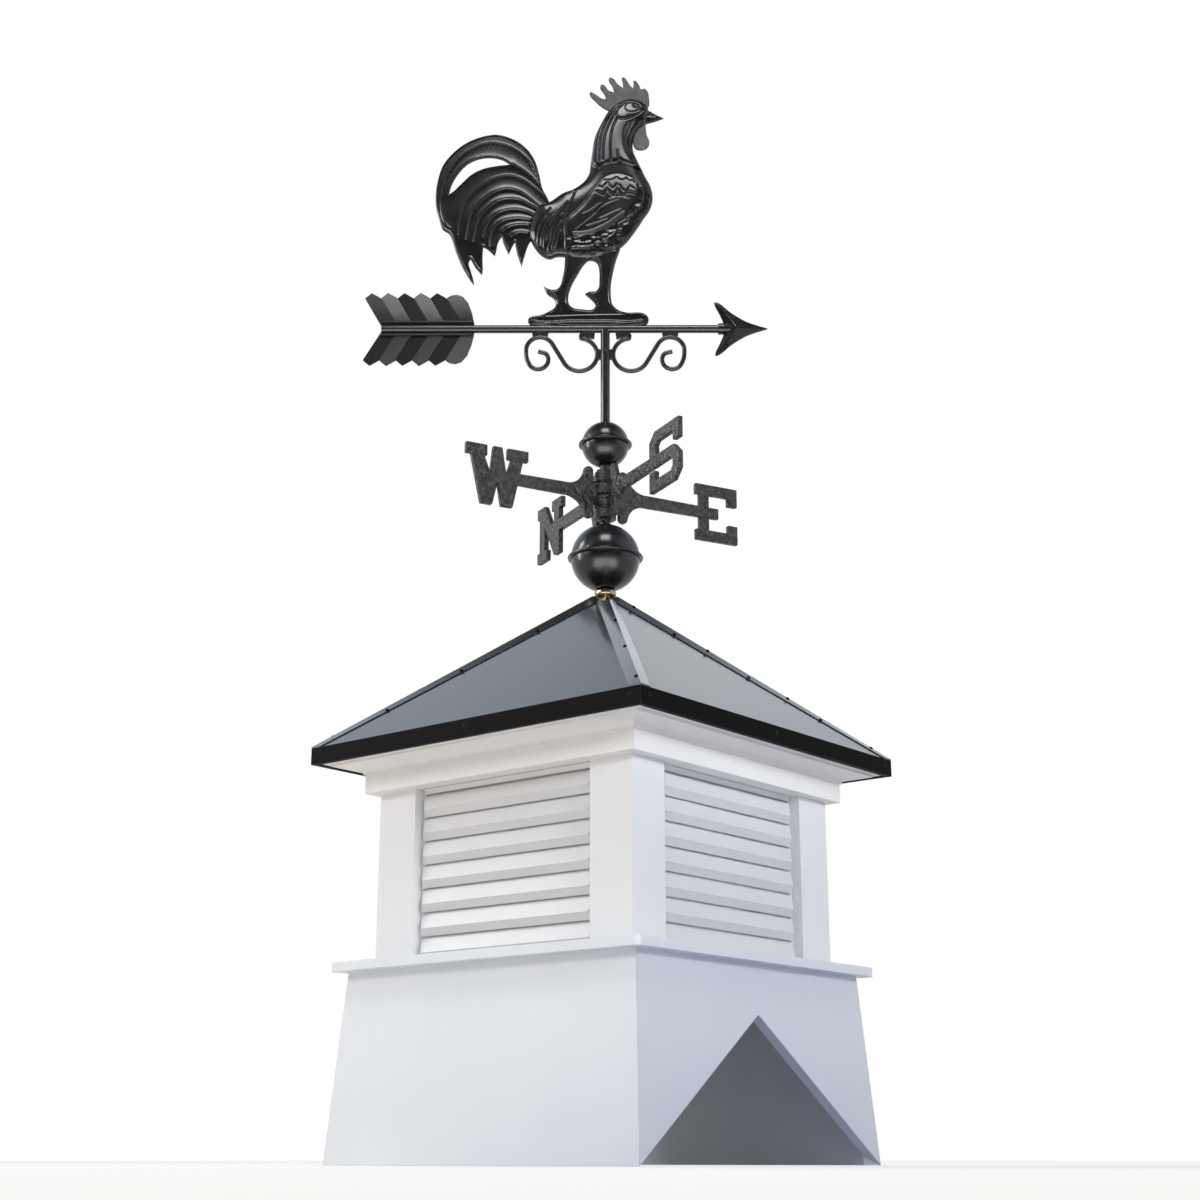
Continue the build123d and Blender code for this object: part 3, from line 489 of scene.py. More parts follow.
# %% World
DIFFUSE_SKY = (0.47, 0.47, 0.48, 1)
BACKDROP_STOPS = ((0.0, (1, 1, 1)), (0.66, (0.76, 0.85, 0.96)), (0.9, (0.08, 0.08, 0.09)))
TO_CAMERA = (math.sin(math.radians(CAMERA_TURN)), -math.cos(math.radians(CAMERA_TURN)), 0)
CAMERA_SIDE_STOPS = ((0.4, (0, 0, 0)), (0.72, (1, 1, 1)))
CAMERA_SIDE = (0.06, 0.06, 0.065, 1)
TO_CLOUD = (-0.372, 0.772, 0.516)
CLOUD_STOPS = ((0.9986, (0, 0, 0)), (0.9999, (1, 1, 1)))
CLOUD_COLOUR = (0.98, 1.02, 1.07, 1)

sky = Tree("studio", bpy.data.worlds)
bpy.context.scene.world = sky.owner
sky.nodes.clear()
direction = sky.add("ShaderNodeTexCoord", {}, {}, output="Generated")
backdrop = sky.ramp(sky.axis(direction, "Z"), *BACKDROP_STOPS)
cloud = sky.ramp(sky.compare("DOT_PRODUCT", direction, TO_CLOUD), *CLOUD_STOPS)
backdrop = sky.mix(cloud, backdrop, CLOUD_COLOUR)
facing = sky.ramp(sky.compare("DOT_PRODUCT", direction, TO_CAMERA), *CAMERA_SIDE_STOPS)
mirrored = sky.mix(facing, backdrop, CAMERA_SIDE)
camera_ray, passing_ray, mirror_ray = sky.rays("Camera", "Transmission", "Glossy")
colour = sky.mix(mirror_ray, DIFFUSE_SKY, mirrored)
colour = sky.mix((camera_ray + passing_ray).clamp(), colour, PURE_WHITE)
background = sky.add("ShaderNodeBackground", {}, [colour, 1.0], output="Background")
surface = sky.nodes.new("ShaderNodeOutputWorld")
sky.links.new(background.out, surface.inputs["Surface"])
bpy.context.scene.view_settings.view_transform = "Standard"
print("world nodes:", len(sky.nodes))

# %% [markdown]
# Soft boxes do the rest. The key stands at the front left. One overhead draws the bright
# upper rims of the feathers. A cool one on the right throws a narrow beam at the posts and
# louvers, which leaves the base below them darker, and mirror rays don't see it, because
# it would show on the roof. A strip behind lights the far edges. Two more are seen by
# mirror rays alone: a low one draws the lower of the two bright lines along the shaft,
# and an upright one at the left picks out rims there. All aim at the spindle's line.


# %% Lamps
def soft_box(name, place, aim_height, size, watts, colour, mirrored=True, diffuse=True, spread=180):
    data = bpy.data.lights.new(name, "AREA")
    data.shape = "RECTANGLE"
    data.size, data.size_y = size
    data.energy = watts
    data.color = colour
    data.spread = math.radians(spread)
    lamp = bpy.data.objects.new(name, data)
    lamp.location = place
    aim = Vector((0, 0, aim_height)) - Vector(place)
    lamp.rotation_euler = aim.to_track_quat("-Z", "Y").to_euler()
    lamp.visible_glossy = mirrored
    lamp.visible_diffuse = diffuse
    lamp.visible_camera = False
    bpy.context.collection.objects.link(lamp)


WARM, WHITE, COOL = (1.0, 0.985, 0.955), (1.0, 1.0, 1.0), (0.87, 0.94, 1.0)
# Name, place, height aimed at, size, watts, colour, and what is special about the lamp.
LAMPS = (
    ("key", (-1.6, -2.9, 1.9), 0.6, (0.9, 0.9), 35, WARM, {}),
    ("overhead", (0.74, -0.92, 2.52), 0.9, (0.9, 0.76), 22, WHITE, {}),
    ("cool", (2.6, -0.5, 1.3), 0.78, (1.2, 0.8), 3.9, COOL, {"mirrored": False, "spread": 36}),
    ("back", (-1.4, 2.4, 2.4), 1.0, (1.4, 0.4), 12, WHITE, {"mirrored": False}),
    ("low_glint", (0.42, -0.52, 0.25), 0.95, (1.2, 0.45), 6, WHITE, {"diffuse": False}),
    ("left_glint", (-1.3, -0.9, 1.3), 1.1, (0.3, 1.2), 14, WHITE, {"diffuse": False}),
)
for *lamp, options in LAMPS:
    soft_box(*lamp, **options)
print("lamps:", len(LAMPS))

# %% [markdown]
# ## The rooster
# The rooster is one casting: a domed body with a flat tail, feet and comb around it.
# Its feathers are low relief, one to three millimetres high. Primitives and edit-mode tools
# can't follow such relief, so it is made the way a pattern maker would carve it. The
# outline is filled with a fine net of triangles, and each point of the net is raised by
# a height that depends on how far it is from the edge and from the carved lines. The
# lines are drawn in millimetres on the vane's own upright plane: the first number runs
# along the arrow from the spindle, the second is the height above the shaft's middle.

# %% The vane's plane
VANE_YAW = math.radians(39.13)
MM = 0.001

shaft_low, shaft_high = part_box("arrow_shaft")
SHAFT_HEIGHT = (shaft_low.z + shaft_high.z) / 2
to_vane = Matrix.Translation((0, 0, SHAFT_HEIGHT)) @ Matrix.Rotation(VANE_YAW, 4, "Z")
print("the shaft's middle is at", round(SHAFT_HEIGHT, 4), "m")

# %% [markdown]
# A carved line is given by a few points. `flowing` draws a smooth line through them and
# keeps a corner where the line turns sharply, as at the tip of a claw.


# %% Smooth lines with corners
LINE_STEP = 0.8
SHARP_TURN = 62


def flowing(points, closed=False, corner=SHARP_TURN):
    places = [Vector(point) for point in points]
    count = len(places)
    legs = count if closed else count - 1

    def heading(i, ahead):
        before = places[i] - places[i - 1] if closed or i > 0 else None
        after = places[(i + 1) % count] - places[i] if closed or i < count - 1 else None
        if before is None or after is None:
            return (before or after).normalized()
        if before.angle(after) > math.radians(corner):
            return (after if ahead else before).normalized()
        return (before.normalized() + after.normalized()).normalized()

    line = []
    for i in range(legs):
        j = (i + 1) % count
        chord = (places[j] - places[i]).length
        out, into = heading(i, True) * chord, heading(j, False) * chord
        parts = max(2, round(chord / LINE_STEP))
        for k in range(parts):
            s = k / parts
            line.append(
                places[i] * (2 * s**3 - 3 * s**2 + 1)
                + out * (s**3 - 2 * s**2 + s)
                + places[j] * (3 * s**2 - 2 * s**3)
                + into * (s**3 - s**2)
            )
    if not closed:
        line.append(places[-1])
    return line


print("a line through three points:", len(flowing([(0, 0), (10, 4), (20, 0)])), "points")

# %% [markdown]
# Distance to a line is the measure that all the carving uses. It is signed: positive to
# the left of the line's direction and negative to its right, so that what lies on one side
# of a row of feathers can stand proud of what lies on the other. From it come a ridge or
# groove along a line, a step at a line, and a table of such lines drawn in one go.


# %% Distances and cuts
BATCH = 2000
KNOT_REACH = 1.0


def distance(places, line, closed=False):
    knots = np.array([tuple(point) for point in line])
    ahead = np.roll(knots, -1, 0) - np.roll(knots, 1, 0)
    if not closed:
        ahead[0], ahead[-1] = knots[1] - knots[0], knots[-1] - knots[-2]
    ahead /= np.linalg.norm(ahead, axis=1)[:, None] + 1e-9
    result = []
    for some in np.array_split(places, max(1, len(places) // BATCH)):
        nearest = ((some[:, None] - knots[None]) ** 2).sum(2).argmin(1)
        away = some - knots[nearest]
        run = (away * ahead[nearest]).sum(1)
        side = ahead[nearest][:, 0] * away[:, 1] - ahead[nearest][:, 1] * away[:, 0]
        straight = np.where(np.abs(run) < KNOT_REACH, np.abs(side), np.hypot(run, side))
        result.append(np.where(side < 0, -straight, straight))
    return np.concatenate(result)


def inside(places, loop):
    """True where a point lies inside a closed loop."""
    corners = np.array([tuple(point) for point in loop])
    follows = np.roll(corners, -1, 0)
    within = np.zeros(len(places), bool)
    for (x1, y1), (x2, y2) in zip(corners, follows):
        crosses = (y1 > places[:, 1]) != (y2 > places[:, 1])
        reach = x1 + (places[:, 1] - y1) / (y2 - y1 + 1e-12) * (x2 - x1)
        within ^= crosses & (places[:, 0] < reach)
    return within


def rim(gap, width, height):
    """A rounded ridge, or a groove where its height is negative, along a line."""
    return height * np.exp(-((gap / width) ** 2))


def step(gap, width, height):
    """A step that climbs to its height within a few widths of a line."""
    return height * (1 - np.exp(-np.abs(gap) / width))


def below(heights, top, length):
    """0 above a height, growing to 1 over a length below it."""
    return np.clip((top - heights) / length, 0, 1)


def inland(gap, start, length):
    """0 at a plate's edge, growing to 1 over a length from a start."""
    return np.clip((gap - start) / length, 0, 1)


def drawn(flat, table):
    """The ridges and grooves of a table with rows of lines, width and height."""
    cuts = [(line, width, height) for lines, width, height in table for line in lines]
    return sum(rim(distance(flat, flowing(line)), width, height) for line, width, height in cuts)


print("carving tools ready")

# %% [markdown]
# A net of triangles fills the outline: its own points, a row just inside it, and an even
# grid. `cast_plate` raises both sides by the same height, so the casting looks the same
# from behind, and closes the edge with a narrow wall.

# %% Nets
NET = 0.72
FIRST_ROW = 0.4
WELD = 0.00002
CREASE = 40


def between(places, loops):
    """True inside the outline and outside its holes."""
    within = np.zeros(len(places), bool)
    for loop in loops:
        within ^= inside(places, loop)
    return within


def net(loops):
    points, edges, rows = [], [], []
    for loop in loops:
        start, count = len(points), len(loop)
        points += [tuple(point) for point in loop]
        edges += [(start + i, start + (i + 1) % count) for i in range(count)]
        for i, point in enumerate(loop):
            ahead = loop[(i + 1) % count] - loop[i - 1]
            across = Vector((-ahead.y, ahead.x)).normalized() * FIRST_ROW
            rows += [tuple(point + across), tuple(point - across)]
    low, high = np.min(points, 0), np.max(points, 0)
    height = NET * math.sqrt(3) / 2
    for row in range(int((high[1] - low[1]) / height) + 1):
        shift = NET / 2 * (row % 2)
        rows += [(x, low[1] + row * height) for x in np.arange(low[0] + shift, high[0], NET)]
    rows = np.array(rows)
    kept = between(rows, loops)
    for loop in loops:
        kept &= np.abs(distance(rows, loop, closed=True)) > FIRST_ROW * 0.9
    points += [tuple(point) for point in rows[kept]]
    flat, _, faces, *_ = geometry.delaunay_2d_cdt([Vector(p) for p in points], edges, [], 0, 1e-5)
    flat, faces = np.array([tuple(point) for point in flat]), np.array(faces)
    return flat, faces[between(flat[faces].mean(1), loops)].tolist()


print("net's mesh size in mm:", NET)


# %% Plates
def pick(piece):
    """Selects one piece alone and makes it the active one."""
    deselect()
    piece.select_set(True)
    bpy.context.view_layer.objects.active = piece


def added(name, data):
    piece = bpy.data.objects.new(name, data)
    bpy.context.collection.objects.link(piece)
    return piece


def cast_plate(name, points, height, material, hole=None, corner=SHARP_TURN):
    """A plate on the vane's plane, with a height for each point of its net."""
    loops = [flowing(points, closed=True, corner=corner)]
    if hole:
        loops.append(flowing(hole, closed=True))
    flat, faces = net(loops)
    gap = np.min([np.abs(distance(flat, loop, closed=True)) for loop in loops], 0)
    rise, count = height(flat, gap), len(flat)
    directed = [(face[i], face[(i + 1) % 3]) for face in faces for i in range(3)]
    known = set(directed)
    walls = [(b, a, a + count, b + count) for a, b in directed if (b, a) not in known]
    rear = [[i + count for i in reversed(face)] for face in faces]
    sides = [(x, y, turned * z) for turned in (-1, 1) for (x, y), z in zip(flat, rise)]
    mesh = bpy.data.meshes.new(name)
    mesh.from_pydata([Vector((x, z, y)) * MM for x, y, z in sides], [], faces + rear + walls)
    shape = bmesh.new()
    shape.from_mesh(mesh)
    bmesh.ops.remove_doubles(shape, verts=shape.verts, dist=WELD)
    bmesh.ops.recalc_face_normals(shape, faces=shape.faces)
    shape.to_mesh(mesh)
    shape.free()
    mesh.transform(to_vane)
    mesh.materials.append(material)
    piece = added(name, mesh)
    pick(piece)
    bpy.ops.object.shade_smooth_by_angle(angle=math.radians(CREASE))
    piece.select_set(False)
    return piece


def finished(piece, body, slot_name, *replaced):
    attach(piece, body)
    if replaced:
        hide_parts(*replaced)
    print(piece.name, "has", len(piece.data.polygons), "faces")


print("plates are welded at", WELD, "m")

# %% [markdown]
# The body is a dome with round shoulders. On it lie the wing with its three rows of
# coverts, the long hackle feathers of the neck with their jagged hem, the bare face with
# the eye, and the saddle feathers that hang over the root of the tail.

# %% The body's lines
BODY = [
    (-67, 168), (-52, 179), (-37, 186), (-26, 195), (-20, 205), (-18, 218), (-16, 235), (-13, 255),
    (-5, 275), (4, 292), (11, 299), (19, 305), (29, 309), (40, 307), (48, 303), (53, 297), (53, 286),
    (50, 275), (42, 269), (36, 258), (34, 246), (35, 236), (41, 221), (49, 202), (56, 187), (58, 173),
    (55, 159), (47, 146), (38, 131), (25, 113), (10, 100), (-6, 93), (-20, 90), (-36, 91), (-50, 95),
    (-58, 95), (-67, 92), (-76, 96), (-84, 105), (-90, 117), (-92, 127), (-90, 139), (-86, 152),
    (-78, 164),
]
WING = [
    (-4, 191), (3, 197), (14, 200), (27, 197), (37, 191), (41, 181), (40, 170), (35, 158), (28, 147),
    (16, 136), (3, 130), (-11, 123), (-26, 118), (-37, 116), (-44, 119), (-46, 124), (-47, 132),
    (-45, 140), (-36, 150), (-26, 161), (-16, 176), (-9, 184),
]
COVERTS = (
    [(36, 189), (34.4, 191.7), (29.8, 190.9), (25.8, 195), (21.7, 191.7), (18, 192.4), (13.7, 196),
     (8.4, 192), (3, 191.7), (-2.3, 193)],
    [(35, 180), (30.4, 182.8), (25.8, 176), (21.7, 178), (17.7, 184), (13.7, 185.4), (9.7, 180),
     (6.4, 182.8), (3, 188.7), (-3.7, 181.3), (-8, 184)],
    [(37, 173), (28.4, 175.3), (21.7, 171), (15, 180), (9.7, 171.6), (2.3, 179), (-2.3, 172.3),
     (-10.4, 176.8)],
)
HACKLES = (
    [(17.7, 298), (9.7, 288.5), (3, 278), (-2.3, 266), (-5.7, 252.7), (-7, 238), (-7.7, 218.5)],
    [(11.7, 285.5), (5, 270.6), (0.6, 258.7), (-1.7, 245.3), (-2.7, 220)],
    [(14.8, 278), (9.7, 266), (7.3, 252.7), (6.4, 238), (6.8, 219)],
    [(28.4, 272), (24.8, 263), (23.1, 252.7), (24.1, 241), (27.1, 230), (33, 220)],
    [(15, 232), (15.7, 223)],
    [(35.8, 276), (29.8, 264.7), (26.8, 254), (28, 242), (31.1, 230), (35, 224)],
)
HACKLE_HEM = [
    (33.5, 213), (27, 215.5), (21.7, 217), (17.5, 220), (13.7, 217), (9, 217), (3, 215), (-2.3, 213.5),
    (-6.4, 209), (-11.7, 212.5), (-15.7, 217.5),
]
FACE = [
    (21.7, 299), (15.1, 291.5), (13, 284), (16.4, 278), (21.7, 275.8), (28.4, 277.3), (35.1, 280.3),
    (41.8, 284.8), (46, 289), (43, 295), (38, 300), (30, 301.5),
]
CHEEK = [(26.4, 299), (24.4, 293), (27.1, 287.7), (32.4, 286.3), (39.1, 287.7), (43.1, 290.7)]
BROW = [(5, 296), (11, 298), (19, 303), (29, 307), (40, 305), (48, 301), (52, 297)]
EYE = (37.5, 295.5)
SADDLE_TOP = [(-69, 166), (-58.5, 174.5), (-49, 179.5), (-39, 180.5)]
SADDLES = (
    [(-35, 180), (-43, 161), (-48, 144), (-49, 130), (-48, 119), (-48, 103)],
    [(-45, 165), (-56, 151.5), (-64, 139.6), (-69, 126), (-70.5, 112.8)],
    [(-52, 147), (-58.5, 136.6), (-64, 124.7), (-66.5, 110), (-69, 99.5)],
    [(-53, 136.6), (-58.5, 126), (-62, 114), (-64, 102)],
    [(-53, 124), (-57, 115), (-59.5, 105), (-60.5, 99.5)],
    [(-62.5, 144), (-72, 130.6), (-76, 118.7), (-77, 107)],
    [(-72, 142.5), (-78.6, 129), (-81, 117), (-81, 108)],
    [(-66, 156), (-76, 146), (-82.6, 136.6), (-85, 125), (-84, 115.7)],
    [(-50, 158), (-60, 145), (-68, 133), (-72.5, 120), (-74, 104)],
)
QUILL = [(-34, 126), (-20, 138), (-10, 147), (-2, 156), (8.4, 162), (18, 166)]
BARBS = (
    [(-6, 140), (6, 146), (18, 152)],
    [(-26, 146), (-16, 152), (-6, 160)],
    [(6, 166), (16, 168), (28, 166)],
    [(-22, 130), (-10, 134), (2, 139)],
)
WING_BAND = [(-37, 120), (-26, 120.4), (-15.7, 123), (-5, 128), (5.7, 134), (15, 141), (22, 147)]
BREAST_RIM = [(44, 184), (45.5, 172), (43, 160), (36, 149), (27, 141), (16, 133)]
BELLY = [(-40, 103), (-24, 103), (-9, 108), (4, 115), (16, 126)]
print("body outline has", len(flowing(BODY, closed=True)), "points")

# %% [markdown]
# In the tables, each row gives some lines, the width of their ridge or groove, and its
# height, in millimetres. The face is bare, so it replaces what is carved under it, and a
# second table is drawn over it. The breast and belly get small uneven lumps.

# %% The wing and the neck
WING_STEP, WING_HOLLOW, WING_RIM = (1.4, 1.5), (1.2, -0.4), (1.0, 0.6)
COVERT_STEP, COVERT_GROOVE, COVERT_SLOPE = (0.8, 0.45), (0.9, -0.6), 0.7
COVERT_TILT, COVERT_TOP, COVERT_LENGTH = 2.0, 200, 26
HACKLE_RISE, HACKLE_TILT, HACKLE_TOP, HACKLE_LENGTH = 0.8, 2.7, 276, 60
HEM_SLOPE, HEM_RIM, HEM_CORNER, HEM_TOP = 0.9, (1.0, 1.4), 20, 222
NECK_LOW, NECK_HIGH = 205, 290


def wing_relief(flat):
    wing = flowing(WING, closed=True)
    on_wing = inside(flat, wing)
    edge = distance(flat, wing, closed=True)
    hollow_width, hollow = WING_HOLLOW
    beside = hollow * np.exp(-np.abs(edge) / hollow_width)
    relief = np.where(on_wing, step(edge, *WING_STEP), beside) + rim(edge, *WING_RIM)
    for row in COVERTS:
        to_row = distance(flat, flowing(row))
        under_row = on_wing & (to_row < 0)
        relief += np.where(under_row, step(to_row, *COVERT_STEP), 0)
        relief += np.where(on_wing, rim(to_row, *COVERT_GROOVE), 0)
    tilt = COVERT_TILT * below(flat[:, 1], COVERT_TOP, COVERT_LENGTH)
    return relief + np.where(under_row, step(to_row, COVERT_SLOPE, tilt), 0)


def neck_relief(flat):
    z = flat[:, 1]
    hem = distance(flat, flowing(HACKLE_HEM, corner=HEM_CORNER))
    above_hem = (hem < 0) & (z > NECK_LOW) & (z < NECK_HIGH)
    rise = HACKLE_RISE + HACKLE_TILT * below(z, HACKLE_TOP, HACKLE_LENGTH)
    feathers = np.where(above_hem, step(hem, HEM_SLOPE, rise), 0)
    return feathers + np.where(z < HEM_TOP, rim(hem, *HEM_RIM), 0)


print("rows of coverts:", len(COVERTS), "and hackles:", len(HACKLES))

# %% Carve the body
BODY_HALF = 9.5
BODY_ROUND = 24.0
BODY_POWER = 2.5
SHOULDER = 3.0
FACE_RISE, FACE_TILT, FACE_TOP, FACE_LENGTH = 0.8, 0.9, 300, 24
FACE_SLOPE, FACE_GROOVE = 1.2, (0.8, -0.8)
EYELID, PUPIL = (3.4, 0.8, -0.7), (1.2, 0.7, 0.5)
LUMP_SIZES = ((0.14, 0.2, 4.0, 1.0), (0.35, 0.35, 9.0, 0.25))
LUMPS_START, LUMPS_TOP, LUMPS_LENGTH, LUMPS_BELOW_BAND = -46, 234, 40, 2.5
UNDER_FACE = (
    ((QUILL, *BARBS), 1.0, 0.9),
    ((WING_BAND,), 1.8, 1.5),
    ((BREAST_RIM,), 1.1, 1.0),
    ((BELLY,), 1.3, 0.7),
    (HACKLES, 1.1, -1.4),
)
OVER_FACE = (
    ((CHEEK,), 0.8, -0.7),
    ((BROW,), 0.7, 0.6),
    (SADDLES, 0.9, 1.1),
    ((SADDLE_TOP,), 1.2, 0.9),
)


def with_face(flat, relief):
    face = flowing(FACE, closed=True)
    edge = distance(flat, face, closed=True)
    raised = step(edge, FACE_SLOPE, FACE_RISE + FACE_TILT * below(flat[:, 1], FACE_TOP, FACE_LENGTH))
    relief = np.where(inside(flat, face), raised, relief) + rim(edge, *FACE_GROOVE)
    to_eye = np.hypot(*(flat - EYE).T)
    for radius, width, height in (EYELID, PUPIL):
        relief += rim(to_eye - radius, width, height)
    return relief


def lumps(flat):
    under_band = distance(flat, flowing(WING_BAND)) < -LUMPS_BELOW_BAND
    low = under_band * below(flat[:, 1], LUMPS_TOP, LUMPS_LENGTH)
    grain = [
        sum(part * noise.noise((x * wide, z * tall, seed)) for wide, tall, seed, part in LUMP_SIZES)
        for x, z in flat
    ]
    return np.array(grain) * np.where(flat[:, 0] > LUMPS_START, low, 0)


def body_height(flat, gap):
    inward = np.clip(1 - gap / BODY_ROUND, 0, 1)
    dome = BODY_HALF * (1 - inward**BODY_POWER) ** (1 / BODY_POWER)
    relief = wing_relief(flat) + drawn(flat, UNDER_FACE) + neck_relief(flat)
    relief = with_face(flat, relief) + drawn(flat, OVER_FACE) + lumps(flat)
    return np.maximum(dome + relief * inland(gap, 0, SHOULDER), 0)


body = cast_plate("rooster_body", BODY, body_height, vane_black)
finished(body, "vane", "vane_black", "rooster")

# %% [markdown]
# The tail is a flat plate of curved feathers. Between their thin raised rims the feathers
# are slightly hollow, so the light grows towards each rim.

# %% The tail's lines
TAIL_HALF = 2.6
FEATHER_SLOPES = (0.25, 0.7, 0.35, 1.0, 1.2, 1.2, 1.3, 1.2, 1.0)
SLOPE_LENGTH = 4.2
FEATHER_RIM = 1.0
TAIL = [
    (-69, 171), (-76, 186), (-80, 204), (-86, 225), (-97, 242), (-113, 254), (-133, 260), (-152, 257),
    (-171, 248), (-186, 235), (-198, 218), (-204, 197), (-206, 177), (-205, 160), (-201, 145),
    (-196, 131), (-189, 126), (-185, 118), (-179, 99), (-171, 80), (-162, 64), (-157, 57), (-157.5, 62),
    (-161, 75), (-164, 87), (-162, 92), (-156, 81), (-148, 71), (-147, 76), (-147.5, 92), (-147, 108),
    (-142, 105), (-133, 96), (-131.5, 101), (-129, 114), (-125, 122), (-123, 114), (-116, 98),
    (-113.5, 105), (-109, 114.5), (-106, 99), (-100.5, 82), (-97, 96), (-92, 112), (-86, 122),
    (-78, 140), (-66, 158),
]
TAIL_GAP = [
    (-190, 178), (-187, 191), (-179, 207), (-168, 220), (-155, 227), (-139, 229), (-126, 226),
    (-115, 219), (-132, 217), (-149, 213), (-162, 206), (-175, 193), (-184, 183),
]
TAIL_FEATHERS = (
    [(-188, 132.5), (-192.7, 137), (-196.6, 146), (-199, 160), (-199.4, 173), (-197, 184), (-194.5, 195),
     (-189, 208.8), (-181.7, 221), (-172, 232), (-161, 240.7), (-148.7, 246.9), (-136.5, 248.5),
     (-124, 246), (-112, 240.7), (-101, 232), (-92.4, 222), (-86.3, 210), (-76.6, 188)],
    [(-113, 219.5), (-102, 212.8), (-92.4, 204.7), (-84, 195), (-75.5, 184)],
    [(-177, 124), (-176, 138), (-173.7, 151.6), (-169.5, 164), (-164.6, 173), (-157, 183), (-148.7, 191),
     (-139, 198), (-129, 202), (-119.3, 203.6), (-109.6, 202), (-99.8, 198), (-88.8, 189.7),
     (-80, 181.6), (-70.4, 171)],
    [(-167.6, 117.6), (-166.4, 128.5), (-164.3, 142), (-161, 153), (-156, 161), (-150, 168.6),
     (-142.6, 175.4), (-134, 181.5), (-124, 185.4), (-115.7, 185.6), (-106, 183), (-96, 176.8),
     (-87.6, 169), (-80, 161.8)],
    [(-158.5, 115), (-157, 127), (-154, 139.4), (-150, 149), (-143.8, 157), (-136.5, 164.5),
     (-128, 170), (-119, 172), (-110.8, 172), (-101, 169.6), (-92.4, 164.5), (-82.7, 158.7)],
    [(-146.8, 121), (-145, 130), (-142, 138), (-137.7, 145.5), (-131.6, 151.6), (-124, 155.4),
     (-114.5, 157.7), (-106, 157.7), (-96, 155.4), (-87.6, 151.3)],
    [(-138.3, 108), (-138.5, 117.6), (-136.5, 127), (-132.8, 134.6), (-126.7, 140.4), (-119, 144),
     (-109.6, 145.5), (-101, 145.5), (-91.8, 144)],
    [(-122.8, 128.5), (-118, 133), (-110.8, 136), (-102, 137.3), (-93, 137)],
    [(-113, 121), (-109, 125), (-102, 127), (-94.3, 125.7)],
)
print("tail feathers:", len(TAIL_FEATHERS))


# %% Carve the tail
TAIL_BEAD, GAP_RISE, TAIL_INLAND = (1.7, 0.9, 0.5), 0.7, (0.3, 1.0)


def plate_rise(gap, half, edge=1.3, wall=0.45):
    """A flat plate's half thickness, rounded off at its edge."""
    inward = np.clip(1 - gap / edge, 0, 1)
    return half * (wall + (1 - wall) * np.sqrt(1 - inward**2))


def tail_height(flat, gap):
    inset, width, height = TAIL_BEAD
    relief = rim(gap - inset, width, height)
    for feather, slope in zip(TAIL_FEATHERS, FEATHER_SLOPES):
        away = np.abs(distance(flat, flowing(feather)))
        relief = np.maximum(relief, slope * np.exp(-away / SLOPE_LENGTH) + rim(away, 1.0, FEATHER_RIM))
    to_gap = np.abs(distance(flat, flowing(TAIL_GAP, closed=True), closed=True))
    relief += GAP_RISE * np.exp(-to_gap / SLOPE_LENGTH)
    return plate_rise(gap, TAIL_HALF) + relief * inland(gap, *TAIL_INLAND)


tail = cast_plate("rooster_tail", TAIL, tail_height, vane_black, TAIL_GAP)
finished(tail, "vane", "vane_black")

# %% [markdown]
# The legs, the feet and the bar they stand on are one thick plate with a raised bead
# along its edge. The comb, the wattle and the beak are thin plates. The comb and the
# wattle have a duller coat that looks grey beside the glossy body.

# %% Legs and foot bar
LEG_HALF, LEG_EDGE = 3.6, 2.2
LEG_BEAD = (2.4, 1.0, 1.2)
FOOT_TOP, FOOT_BLEND, FOOT_UNDERSIDE = 21, 3, 11
RING_RIDGE, RING_STRONG, RING_FAINT, BEAD_FAINT = (1.1, 1.0), 1.2, 0.35, 0.2
LEG_INLAND = (0, 2.0)
LEGS = [
    (-48, 104), (-49, 80), (-51, 67), (-54, 56), (-58, 51.5), (-65, 51), (-73.5, 55), (-69, 45.5),
    (-62, 40), (-59, 34), (-60, 28), (-66, 23), (-77, 17.5), (-86, 16), (-91, 13.5), (-92, 9.5),
    (-89, 5.4), (-83, 4), (42, 4), (48, 5.4), (51.5, 9), (51, 15), (47, 19), (43, 20.5), (25, 21),
    (16, 24), (9, 31), (7, 42), (7, 57), (9, 71), (13, 89), (18, 104),
]
LEG_GAP = [
    (-19, 90), (-25, 85), (-33, 71), (-40, 57), (-44, 42), (-43, 32), (-38, 27), (-27, 25), (-15, 25),
    (-11, 30), (-13, 34), (-24, 45.5), (-19, 48), (-11, 49), (-8, 53), (-7, 63), (-7, 74), (-9, 85),
    (-13, 89),
]
FOOT_RING = [
    (-84, 8.6), (-40, 8.6), (0, 8.6), (40, 8.6), (46, 10.5), (47, 14), (42, 16.5), (20, 16.5), (-20, 16),
    (-60, 14.5), (-84, 13), (-88, 11),
]


def leg_height(flat, gap):
    inset, width, height = LEG_BEAD
    bead = rim(gap - inset, width, height)
    ring = rim(distance(flat, flowing(FOOT_RING, closed=True), closed=True), *RING_RIDGE)
    low = below(flat[:, 1], FOOT_TOP, FOOT_BLEND)
    strength = np.where(flat[:, 1] < FOOT_UNDERSIDE, RING_STRONG, RING_FAINT)
    relief = bead * (1 - low) + (ring * strength + bead * BEAD_FAINT) * low
    return plate_rise(gap, LEG_HALF, edge=LEG_EDGE) + relief * inland(gap, *LEG_INLAND)


legs = cast_plate("rooster_legs", LEGS, leg_height, vane_black, LEG_GAP)
finished(legs, "vane", "vane_black")

